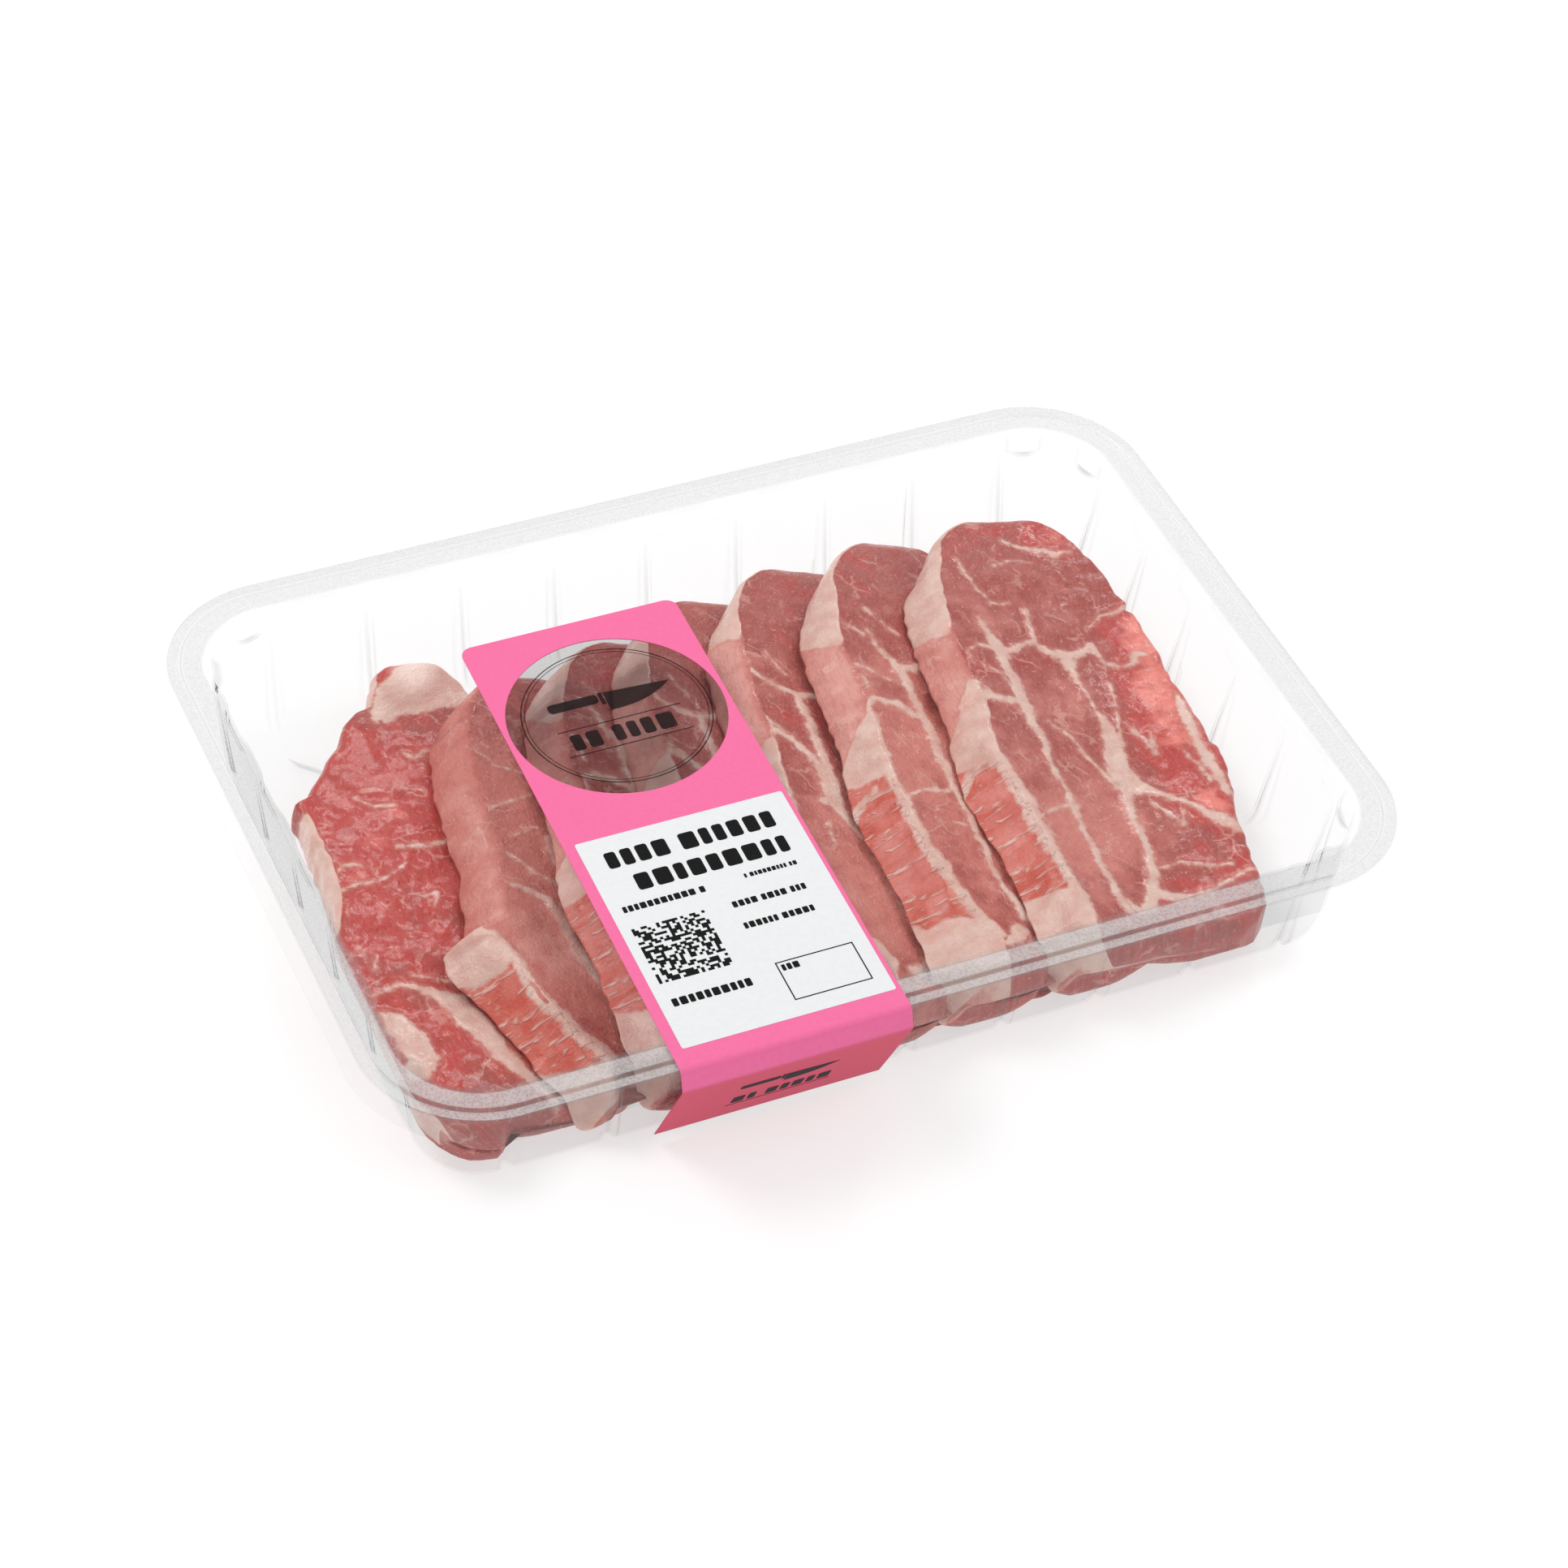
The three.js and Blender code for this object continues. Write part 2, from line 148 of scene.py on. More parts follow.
for name, place, side, power in SOFT_BOXES:
    light = bpy.data.lights.new(name, "AREA")
    light.shape = "SQUARE"
    light.size = side
    light.energy = power
    box = bpy.data.objects.new(name, light)
    bpy.context.scene.collection.objects.link(box)
    box.location = place
    box.rotation_mode = "QUATERNION"
    box.rotation_quaternion = (-Vector(place)).to_track_quat("-Z", "Y")


# The tray is one clear sheet of PET, vacuum formed: a flange of two textured bands with a clear
# groove between them, a short skirt outside, and walls stiffened by ribs that deepen downwards. Its
# sizes are in millimetres. It casts no shadow, because clear layers would shade the board black.
TRAY_LENGTH = 260.0
TRAY_WIDTH = 187.0
TRAY_HEIGHT = 35.0
LIP_CORNER_RADIUS = 30.5
LIP_DROP = 4.5
SHEET = 0.55
WALL_INSET = 11.8
WALL_DRAFT = 0.1
FLOOR_FILLET = 5.0
FLOOR_TOP = 0.6
RIB_PITCH = 24.5
RIB_DEPTH = 1.9
RIB_CREST = 0.25
RIB_HALF_TOP = 1.5
RIB_FLARE = 0.7
RIB_COUNTS = (9, 6)
RIB_MARKS = (-2.3, -1.6, -1.1, -0.6, -0.2, 0.2, 0.6, 1.1, 1.6, 2.3)
LEFT_SIDE = 3
LEFT_RIB_SHARE = 0.4
LEFT_WALL_X = -96.0
LEFT_BEND_SHARE = 0.3
WALL_SWELL = 0.55
DENEST_STEP = 0.9
LUG_RADIUS = 4.0
LUG_DEPTH = 2.2
LUG_PLACES = (5.0, 24.4)
STRAIGHT_HALVES = (TRAY_LENGTH / 2 - LIP_CORNER_RADIUS, TRAY_WIDTH / 2 - LIP_CORNER_RADIUS)
MM = 0.001


def smooth_step(start, end, value):
    """0 before start, 1 after end, and three t squared less two t cubed between them."""
    t = np.clip((value - start) / (end - start), 0, 1)
    return t * t * (3 - 2 * t)


def lattice_noise(u, v, size, seed):
    """Smooth random relief from -1 to 1: random values on a lattice of that cell size, blended
    across each cell by the smooth step of the place in it."""
    rng = np.random.default_rng(seed)
    table = rng.uniform(-1, 1, (64, 64))
    a, b = np.broadcast_arrays(np.asarray(u) / size, np.asarray(v) / size)
    i, j = np.floor(a).astype(int), np.floor(b).astype(int)
    s, t = a - i, b - j
    s, t = s * s * (3 - 2 * s), t * t * (3 - 2 * t)
    near = table[i % 64, j % 64] * (1 - s) + table[(i + 1) % 64, j % 64] * s
    far = table[i % 64, (j + 1) % 64] * (1 - s) + table[(i + 1) % 64, (j + 1) % 64] * s
    return near * (1 - t) + far * t


def closed_rings(name, rings):
    """A closed piece from rings of equal point counts, in millimetres: quads join each ring to the
    next, and a fan to the mean point shuts the first and the last. If the signed volume is
    negative, the faces are turned over, so that they point outwards."""
    count, around = rings.shape[:2]
    points = np.concatenate([rings.reshape(-1, 3), [rings[0].mean(0), rings[-1].mean(0)]]) * MM
    k = np.arange(around)
    n = (k + 1) % around
    base = np.arange(count - 1)[:, None] * around
    quads = np.stack([base + k, base + n, base + around + n, base + around + k], -1).reshape(-1, 4)
    last = (count - 1) * around
    fans = np.concatenate([
        np.stack([n, k, np.full(around, count * around)], -1),
        np.stack([last + k, last + n, np.full(around, count * around + 1)], -1),
    ])
    triangles = np.concatenate([quads[:, [0, 1, 2]], quads[:, [0, 2, 3]], fans])
    p, q, r = (points[triangles[:, c]] for c in range(3))
    if np.einsum("ij,ij->", p, np.cross(q, r)) < 0:
        quads, fans = quads[:, ::-1], fans[:, ::-1]
    loops = np.concatenate([quads.ravel(), fans.ravel()]).astype(np.int32)
    sizes = np.concatenate([np.full(len(quads), 4), np.full(len(fans), 3)])
    mesh = bpy.data.meshes.new(name)
    mesh.vertices.add(len(points))
    mesh.vertices.foreach_set("co", points.astype(np.float32).ravel())
    mesh.loops.add(len(loops))
    mesh.loops.foreach_set("vertex_index", loops)
    mesh.polygons.add(len(sizes))
    starts = np.concatenate([[0], np.cumsum(sizes)[:-1]])
    mesh.polygons.foreach_set("loop_start", starts.astype(np.int32))
    mesh.polygons.foreach_set("loop_total", sizes.astype(np.int32))
    mesh.update(calc_edges=True)
    mesh.shade_smooth()
    return mesh


def set_attribute(mesh, name, values):
    """One number for each point. The two fan centres at the end take the values next to them."""
    flat = values.reshape(-1)
    filled = np.concatenate([flat, flat[:1], flat[-1:]]).astype(np.float32)
    mesh.attributes.new(name, "FLOAT", "POINT").data.foreach_set("value", filled)


def ring_normals(rings):
    """Unit normals of a grid of rings: the step to the next ring crossed with the step round."""
    down = np.gradient(rings, axis=0)
    round_step = np.roll(rings, -1, 1) - np.roll(rings, 1, 1)
    normal = np.cross(down, round_step)
    return normal / np.maximum(np.linalg.norm(normal, axis=2, keepdims=True), 1e-9)


def wall_inset(height):
    """The wall leans in by its draft for each millimetre down from the rim."""
    return WALL_INSET + WALL_DRAFT * (TRAY_HEIGHT - height)


def rib_depth(height):
    """Nothing under the rim, and growing evenly to the full depth at the floor's fillet."""
    top = TRAY_HEIGHT - LIP_DROP
    return RIB_DEPTH * np.clip((top - height) / (top - FLOOR_FILLET), 0, 1)


def marks_round():
    """The places round the tray, anticlockwise from the front: which side, how far along its
    straight as a share, and how far round its corner. They crowd together at the ribs."""
    sides, shares, turns = [], [], []
    for side in range(4):
        straight = STRAIGHT_HALVES[side % 2]
        ribs = (np.arange(RIB_COUNTS[side % 2]) - (RIB_COUNTS[side % 2] - 1) / 2) * RIB_PITCH
        even = np.linspace(-straight, straight, int(2 * straight / 2.5), endpoint=False)
        crowded = (ribs[:, None] + np.array(RIB_MARKS)).ravel()
        along = np.concatenate([even, crowded[np.abs(crowded) < straight]])
        along = np.unique(along.round(1)) / straight
        corner = np.linspace(0, np.pi / 2, 48)[:-1]
        sides.append(np.full(len(along) + len(corner), side))
        shares.append(np.concatenate([along, np.ones(len(corner))]))
        turns.append(np.concatenate([np.zeros(len(along)), corner]))
    return np.concatenate(sides), np.concatenate(shares), np.concatenate(turns)


def tray_rings(profile):
    """The sheet's upper face: the profile's insets and heights carried round a rectangle with
    round corners, dented by the ribs, swollen between them and stepped under the rim."""
    side, share, turn = marks_round()
    inset, height = profile[:, :1], profile[:, 1:]
    radius = np.maximum(LIP_CORNER_RADIUS - inset, 1.5)
    shrunk = np.minimum(inset, LIP_CORNER_RADIUS - 1.5)
    extra = inset - shrunk
    long_side = side % 2 == 0
    own = np.where(long_side, STRAIGHT_HALVES[0], STRAIGHT_HALVES[1]) - extra
    other = np.where(long_side, STRAIGHT_HALVES[1], STRAIGHT_HALVES[0]) - extra
    along_mm = share * np.where(long_side, STRAIGHT_HALVES[0], STRAIGHT_HALVES[1])
    phase = (along_mm / RIB_PITCH + np.where(long_side, 0.5, 0.0)) % 1 - 0.5
    from_rib = np.abs(np.where(turn > 0, 12, phase * RIB_PITCH))
    on_straight = (turn == 0) & (np.abs(share) < 1)
    half_rib = RIB_HALF_TOP + RIB_FLARE * np.clip((TRAY_HEIGHT - height) / TRAY_HEIGHT, 0, 1)
    rib = rib_depth(height) * (1 - smooth_step(RIB_CREST, half_rib, from_rib)) * on_straight
    rib = rib * np.where(side == LEFT_SIDE, LEFT_RIB_SHARE, 1.0)
    in_wall = smooth_step(1, 6, height) * (1 - smooth_step(27, 31, height)) * (inset > 10)
    crown = np.clip(1 - (2 * (RIB_PITCH / 2 - from_rib) / RIB_PITCH) ** 2, 0, 1)
    swell = WALL_SWELL * in_wall * crown * on_straight
    under_rim = smooth_step(28.6, 29.6, height) * (1 - smooth_step(33, 34.6, height))
    under_rim = under_rim * (inset > 10.1)
    from_end = np.where(long_side, STRAIGHT_HALVES[0], STRAIGHT_HALVES[1]) - np.abs(along_mm)
    step = np.clip(np.sin(2 * np.pi * (phase + 0.21)) * 5, -1, 1) * on_straight
    step = step * smooth_step(0, 5, from_end)
    corner_mm = turn * (LIP_CORNER_RADIUS - WALL_INSET)
    lugs = 0
    for centre in LUG_PLACES:
        across = np.clip(np.abs(corner_mm - centre) / LUG_RADIUS, 0, 1)
        lugs = lugs + LUG_DEPTH * (1 - across ** 2) ** 0.7 * (turn > 0)
    shift = rib - swell + under_rim * (0.5 * DENEST_STEP * step + lugs)
    out = other + radius * np.cos(turn) - shift * np.where(turn > 0, np.cos(turn), 1)
    along = own * share + radius * np.sin(turn) - shift * np.where(turn > 0, np.sin(turn), 0)
    quarter = side * np.pi / 2
    x = along * np.cos(quarter) + out * np.sin(quarter)
    y = along * np.sin(quarter) - out * np.cos(quarter)
    return np.stack([x, y, height + 0 * x], -1), np.broadcast_to(inset, x.shape)


# The sheet's section from the skirt's edge to the middle of the floor, as inset and height: skirt,
# outer band, groove, inner band, wall, fillet and floor.
foot = wall_inset(FLOOR_FILLET)
outline = np.array([
    [0, 30.5], [0.4, 31.4], [1.6, 34.2], [2.1, 35], [2.4, 35], [2.6, 35], [4.5, 35], [4.7, 35],
    [5.0, 34.6], [5.5, 34.6],
    [5.8, 35], [6.0, 35], [7.5, 35], [9.0, 35], [10.1, 35], [10.4, 35], [10.9, 34.7],
    *([wall_inset(at), at] for at in (33.5, 31, 29.7, 28.6, 26, 22, 17.5, 13, 9, FLOOR_FILLET)),
    [foot + 0.5, 3.2], [foot + 1.5, 1.7], [foot + 3, 0.8],
    *([at, FLOOR_TOP] for at in (foot + 4.6, 20.6, 21.7, 22.8, 23.9, 25, 26.5, 29, 34, 55, 85)),
])
cut = np.stack([outline[:-1] * (1 - share) + outline[1:] * share for share in (0.25, 0.75)], 1)
profile = np.concatenate([outline[:1], cut.reshape(-1, 2), outline[-1:]])
upper, insets = tray_rings(profile)
normals = ring_normals(upper)
FLOOR_RING = -5
if normals[FLOOR_RING, 0, 2] < 0:
    normals = -normals
lower = upper - normals * SHEET

# The two bands of the flange are frosted. A bend, for the painted shade lines, is marked where
# the sheet's normal turns fast for each millimetre, round it or down it, and more faintly on the
# soft ribs of the left wall.
outer_band = smooth_step(2.2, 2.5, insets) * (1 - smooth_step(4.5, 4.7, insets))
inner_band = smooth_step(5.8, 6.0, insets) * (1 - smooth_step(10.1, 10.35, insets))
frost = np.maximum(outer_band, inner_band)
along_step = np.linalg.norm(np.roll(upper, -1, 1) - np.roll(upper, 1, 1), axis=2) + 0.3
down_step = np.linalg.norm(np.gradient(upper, axis=0), axis=2) * 2 + 0.3
turned_along = np.linalg.norm(np.roll(normals, -1, 1) - np.roll(normals, 1, 1), axis=2) / along_step
turned_down = np.linalg.norm(np.gradient(normals, axis=0), axis=2) * 2 / down_step
bend = smooth_step(0.1, 1.0, np.maximum(turned_along, turned_down))
on_left_wall = (insets > 11) & (upper[..., 0] < LEFT_WALL_X)
bend = bend * np.where(on_left_wall, LEFT_BEND_SHARE, 1.0)
tray_mesh = closed_rings("tray_sheet", np.concatenate([upper[::-1], lower]))
set_attribute(tray_mesh, "frost", np.concatenate([frost[::-1], 0 * frost]))
set_attribute(tray_mesh, "bend", np.concatenate([bend[::-1], 0 * bend]))


def object_place():
    """The place in the object's own space, in metres."""
    return add_node(tree, "ShaderNodeTexCoord").outputs["Object"]


def sum_of(first, second, operation="ADD", clamp=False):
    """Two numbers combined. Either may be a socket or a plain number."""
    node = add_node(tree, "ShaderNodeMath", operation=operation, use_clamp=clamp)
    for k, value in enumerate((first, second)):
        if isinstance(value, (int, float)):
            node.inputs[k].default_value = value
        else:
            tree.links.new(value, node.inputs[k])
    return node.outputs[0]


def ranged(value, low, high, to_low=0.0, to_high=1.0, smooth=True):
    """A number stretched from one range to another, with smooth ends or straight."""
    node = add_node(
        tree, "ShaderNodeMapRange", {"Value": value}, From_Min=low, From_Max=high, To_Min=to_low,
        To_Max=to_high, interpolation_type="SMOOTHSTEP" if smooth else "LINEAR",
    )
    return node.outputs[0]


def blend(factor, first, second):
    """Two colours mixed by a factor. Each colour is a socket or a hex text."""
    node = add_node(tree, "ShaderNodeMixRGB")
    for name, value in (("Fac", factor), ("Color1", first), ("Color2", second)):
        if isinstance(value, str):
            node.inputs[name].default_value = from_hex(value)
        elif isinstance(value, (int, float)):
            node.inputs[name].default_value = value
        else:
            tree.links.new(value, node.inputs[name])
    return node.outputs[0]


def attribute(name):
    """A number that the mesh keeps at each of its points."""
    return add_node(tree, "ShaderNodeAttribute", attribute_name=name).outputs["Fac"]


def edge_veil(power, low, high):
    """How veiled a clear sheet is: low square on, and nearing high edge on by that power."""
    facing = add_node(tree, "ShaderNodeLayerWeight", Blend=0.5).outputs["Facing"]
    return ranged(sum_of(facing, power, "POWER"), 0.0, 1.0, low, high, smooth=False)


# Clear PET is drawn with a faint grey veil that closes up where the sheet is seen edge on, and thin
# grey lines at its sharp bends. The grey of both is painted shade, standing in for the light that
# the sheet reflects and bends away there. The flange is pressed with a fine stipple.
STIPPLE = 0.7 * MM
clear_pet, tree, output = new_material("clear_pet_vacuum_formed")
frosted = attribute("frost")
bent_sheet = attribute("bend")
grain = add_node(
    tree, "ShaderNodeTexVoronoi", {"Vector": object_place()}, Scale=1 / STIPPLE,
).outputs["Distance"]
clear_alpha = sum_of(edge_veil(8.0, 0.035, 0.24), sum_of(bent_sheet, 0.2, "MULTIPLY"))
frost_alpha = ranged(grain, 0.1, 0.7, 0.36, 0.6, smooth=False)
alpha = add_node(
    tree, "ShaderNodeMix", {"Factor": frosted, "A": clear_alpha, "B": frost_alpha},
)
pressed = add_node(
    tree, "ShaderNodeBump", {"Height": grain, "Strength": frosted}, Distance=0.15 * MM,
)
surface(
    {"Base Color": blend(frosted, blend(bent_sheet, "#c9cbcc", "#7f8183"), "#d8d8d8"),
     "Roughness": ranged(frosted, 0.0, 1.0, 0.12, 0.42, smooth=False),
     "Alpha": alpha.outputs[0], "Normal": pressed.outputs[0]},
    IOR=1.57,
)
tray = new_piece("tray_sheet", tray_mesh, clear_pet)
tray.visible_shadow = False
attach(tray, "root")
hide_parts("tray")


# Seven steaks cut across a boned pork neck, each laid over the right half of the one on its left.
# Each is a slab with cut faces and a leaning left side, and it rests on the steak below it or on
# the floor. Marks on an edge give distance along and distance across, as measured.
GAP = 0.35
FLOOR_SHEET = 0.8
WALL_GAP = FLOOR_SHEET + GAP
SHINGLE_TURN = math.radians(8)
FRONT_Y = -78.0
TIP_ACROSS = 36.0
FRONT_CORNER = 8.0
CORNER_ROUNDING = 1.6
FRONT_ROUNDING = 3.0
BELLY = 3.4
CELL = 0.55
SHINGLED = dict(
    top=28.0, thick=11.0, slope=0.42, curl=0.0, width=59.0, lean=9.5, step=0.0, veer=0.0,
)
STEAKS = [
    dict(SHINGLED, edge=-111.0, top=21.5, thick=12.0, back=77.0, slope=0.25, width=58.0, lean=1.5,
         left_marks=[(5, 0.8), (20, 0), (28, -1.0), (30.6, -1.8), (31.8, 1.4), (37, 5), (45, 9.5),
                     (52, 13.5), (56, 16), (59.5, 19.5), (61, 23.5), (66, 24.5), (71, 27),
                     (74.5, 31), (77, 38)]),
    dict(SHINGLED, edge=-84.0, thick=12.0, back=63.0, step=8.0, veer=0.4),
    dict(SHINGLED, edge=-53.0, thick=11.2, back=65.0),
    dict(SHINGLED, edge=-30.0, top=27.6, thick=10.4, back=73.0),
    dict(SHINGLED, edge=-4.5, top=27.2, thick=9.9, back=77.0),
    dict(SHINGLED, edge=20.7, top=28.6, thick=10.7, back=77.0),
    dict(SHINGLED, edge=48.7, top=28.4, thick=12.1, back=75.0, curl=0.0048, width=63.0,
         right_marks=[(-78, 47), (-76, 52), (-72, 55.5), (-64, 57.5), (-50, 59), (-42, 60),
                      (-32, 62.5), (-20, 63.2), (-10, 62), (0, 60.7), (20, 59.7), (31, 58.5),
                      (33.2, 57), (35.5, 58.4), (47, 57.2), (56, 55), (64, 52), (70, 48), (73, 44),
                      (75, 38)]),
]


def face_height(steak, across):
    """The upper face falls evenly to the right, and the last one's curls up again by the square of
    the distance past 15 mm."""
    return steak["top"] - steak["slope"] * across + steak["curl"] * np.maximum(0, across - 15) ** 2


def lower_height(number, across):
    """Its own thickness below the face, but no lower than the steak beneath or the tray's floor."""
    steak = STEAKS[number]
    height = np.maximum(face_height(steak, across) - steak["thick"], WALL_GAP)
    if number:
        below = STEAKS[number - 1]
        across_below = across + steak["edge"] - below["edge"]
        height = np.maximum(height, face_height(below, across_below) + GAP)
    return height


def side_edges(steak, y):
    """Left and right edges at mid thickness: straight, with a belly that falls off as a bell curve,
    quarter ellipses round the back end and rounded front corners."""

    def quarter(start):
        t = np.clip((y - start) / (steak["back"] - start), 0, 1)
        return np.sqrt(1 - t * t)

    belly = BELLY * np.exp(-((y + 22) / 16) ** 2)
    left = 1 + steak["step"] * smooth_step(-28, -23, y) - belly
    left = left + steak["veer"] * np.maximum(0, -33 - y)
    to_corner = 1 - np.clip((y - FRONT_Y) / FRONT_CORNER, 0, 1)
    corner = FRONT_CORNER * (1 - np.sqrt(1 - to_corner ** 2))
    right = TIP_ACROSS + (steak["width"] - TIP_ACROSS) * quarter(20) - corner
    left = left + (TIP_ACROSS - left) * (1 - quarter(24)) + corner
    for marks, side in ((steak.get("left_marks"), 0), (steak.get("right_marks"), 1)):
        if marks:
            at_y, at_across = np.array(marks).T
            measured = np.interp(y, at_y, at_across)
            if side:
                right = measured
            else:
                left = np.where(y > at_y[0], measured, left)
    return left, right


def inside_tray(x, y, height):
    """Pulls points in towards the tray's corner centres until they clear its walls and ribs."""
    above_floor = (FLOOR_FILLET - height) / (FLOOR_FILLET - FLOOR_SHEET)
    fillet = FLOOR_FILLET * np.clip(above_floor, 0, 1) ** 2
    radius = LIP_CORNER_RADIUS - (wall_inset(height) + rib_depth(height) + fillet + GAP)
    corner_x = np.sign(x) * np.minimum(np.abs(x), STRAIGHT_HALVES[0])
    corner_y = np.sign(y) * np.minimum(np.abs(y), STRAIGHT_HALVES[1])
    reach = np.hypot(x - corner_x, y - corner_y)
    scale = np.where(reach > radius, radius / np.maximum(reach, 1e-6), 1)
    return corner_x + (x - corner_x) * scale, corner_y + (y - corner_y) * scale


def section_columns(width, thick):
    """The points round one cross section: a share of the way from the left edge to the right, an
    offset in millimetres, a level from -1 below to 1 above, and a mark for the left side."""
    side = int(thick / CELL)
    top = int(width / CELL)
    low = 26
    turn = np.linspace(0, np.pi / 2, 5)[1:-1]
    round_level = 2 * CORNER_ROUNDING / thick
    r = CORNER_ROUNDING
    edge_level = 1 - round_level
    rise, fall = np.sin(turn), np.cos(turn)
    share = [np.zeros(side + 3), np.linspace(0, 1, top), np.ones(16), np.linspace(1, 0, low),
             np.zeros(3)]
    offset = [np.zeros(side), r * (1 - fall), r * (1 - 2 * np.linspace(0, 1, top)), -r * (1 - rise),
              np.zeros(10), -r * (1 - fall), r * (2 * np.linspace(0, 1, low) - 1), r * (1 - rise)]
    level = [np.linspace(-edge_level, edge_level, side), edge_level + round_level * rise,
             np.ones(top), edge_level + round_level * fall,
             np.linspace(edge_level, -edge_level, 10), -edge_level - round_level * rise,
             -np.ones(low), -edge_level - round_level * fall]
    on_side = [np.ones(side), np.array([0.9, 0.6, 0.25]), np.zeros(top + 16 + low), np.ones(3)]
    return (np.concatenate(part) for part in (share, offset, level, on_side))


def stroke_depth(across, y, strokes):
    """How deep each place lies inside a set of seams, in millimetres. A seam is a chain of points
    across, along and half its width there, and the depth is the half width less the distance to
    the chain."""
    best = np.full(across.shape, -30.0)
    for chain in strokes:
        for (a0, y0, w0), (a1, y1, w1) in zip(chain, chain[1:]):
            da, dy = a1 - a0, y1 - y0
            t = np.clip(((across - a0) * da + (y - y0) * dy) / (da * da + dy * dy), 0, 1)
            distance = np.hypot(across - a0 - t * da, y - y0 - t * dy)
            best = np.maximum(best, w0 + t * (w1 - w0) - distance)
    return best


# The seams of fat on each upper face: distance across, distance along, and half the width.
SEAMS_7 = [
    [(15, 33, 0.4), (17, 27, 1.2), (18.6, 22, 1.7), (18, 14, 1.6), (17.8, 7, 1.9), (18, 0, 1.5),
     (18.2, -8, 1.1), (17.5, -18, 0.8), (18, -26, 0.8), (18.7, -36, 0.9), (18.5, -52, 0.9),
     (18.9, -63, 1.1), (20.5, -70, 1.3)],
    [(17.5, 2.5, 1.3), (12, 3, 1.3), (7, 4.6, 1.4), (3, 4, 2.4)],
    [(3.4, 10.5, 0.9), (2.6, 4, 2.6), (2, -6, 3.6), (2, -13, 2.6), (4, -20, 1.8), (5.2, -29, 1.9),
     (6.3, -37, 2.1), (6.9, -46, 1.8), (7.6, -55, 1.5), (8.8, -64, 1.5), (9.5, -72, 1.2)],
    [(8, 20, 0.35), (12, 22.3, 0.4), (17, 22.3, 0.7)],
    [(8.3, 19.5, 0.3), (9, 15.5, 0.3)],
    [(12, 15.5, 0.3), (14.7, 13.5, 0.35), (16.4, 8, 0.6)],
    [(5, 9, 0.4), (8, 8.3, 0.35), (10, 5.5, 0.4)],
    [(17, 56, 0.2), (18.5, 46, 0.25), (21.5, 39.5, 0.4), (27, 38.6, 0.4)],
    [(20, 21, 1.0), (24, 23.2, 0.8), (27.6, 24.6, 0.8), (29.3, 21.8, 1.0), (32.5, 19.8, 1.1),
     (36, 19.2, 1.5), (40, 20.2, 1.3), (43, 21.8, 1.2), (44.6, 18, 0.7), (45, 15.5, 0.4)],
    [(31, 36.5, 0.6), (29.3, 31, 0.4), (28.4, 25, 0.8)],
    [(35.6, 18, 1.8), (35.8, 13, 0.9), (36, 5, 0.35), (36.5, -2, 0.4), (37.3, -6, 1.1),
     (37, -12, 2.1), (36, -18, 2.6), (36, -24, 3.3), (37.2, -27, 2.9)],
    [(37, -27, 2.4), (43, -31, 1.1), (48, -36, 0.8), (52, -40.5, 1.2), (55.5, -44, 2.3),
     (57.5, -47, 1.6)],
    [(35.6, -26, 2.2), (34.5, -32, 1.2), (33.3, -41, 0.9), (32.5, -50, 1.1), (31.5, -57, 1.3),
     (29.8, -63, 1.4), (27, -67.5, 1.8), (23, -69.5, 1.4), (20.6, -66, 0.9)],
    [(33, -26.5, 1.0), (29, -18, 0.5), (26, -11, 0.3), (22.5, -5, 0.2)],
    [(43.5, 8, 0.25), (42.5, 0, 0.25), (40, -8, 0.35), (38.8, -14, 0.8)],
    [(29.5, -64, 1.2), (34, -66, 1.3), (40, -65.5, 0.6), (50, -63.3, 0.45), (58.5, -61, 0.5)],
    [(46, 28.5, 0.3), (50, 31.3, 0.45), (55, 32.8, 0.5), (58, 34, 0.6)],
    [(46.5, 14, 0.7), (49, 12, 0.5), (51.5, 12.7, 0.8), (54, 15.5, 1.1), (56.5, 15.3, 0.6)],
    [(59.3, -2, 0.8), (58.8, -10, 1.2), (58.8, -20, 1.3), (59.7, -30, 1.3), (60.5, -36, 1.0)],
    [(33, 63.5, 0.4), (37, 60.3, 0.6), (42, 58.7, 0.7), (46, 56.7, 1.1), (50, 56.5, 0.5)],
    [(27, 53, 0.3), (33, 54.2, 0.45), (38, 54.6, 0.25)],
    [(42, -7, 0.3), (45, -13, 0.5), (46.8, -18, 0.6), (47.5, -12.5, 0.3)],
    [(40, -33, 0.25), (42.5, -38, 0.5), (45.5, -43, 0.6), (46, -39, 0.3)],
    [(8.5, -37.5, 0.4), (12, -35.5, 0.3), (17.5, -34.5, 0.4)],
    [(54, -18, 0.2), (56.5, -24, 0.3), (57.5, -31, 0.5)],
    [(33.5, -56, 0.3), (40, -54, 0.25), (46, -57.5, 0.25), (52, -58.5, 0.3)],
    [(10, 74, 0.2), (9, 62, 0.35), (7.6, 50, 0.3), (7, 38, 0.2)],
    [(24, 76, 0.4), (31, 76, 0.9), (39, 75.5, 0.5)],
]
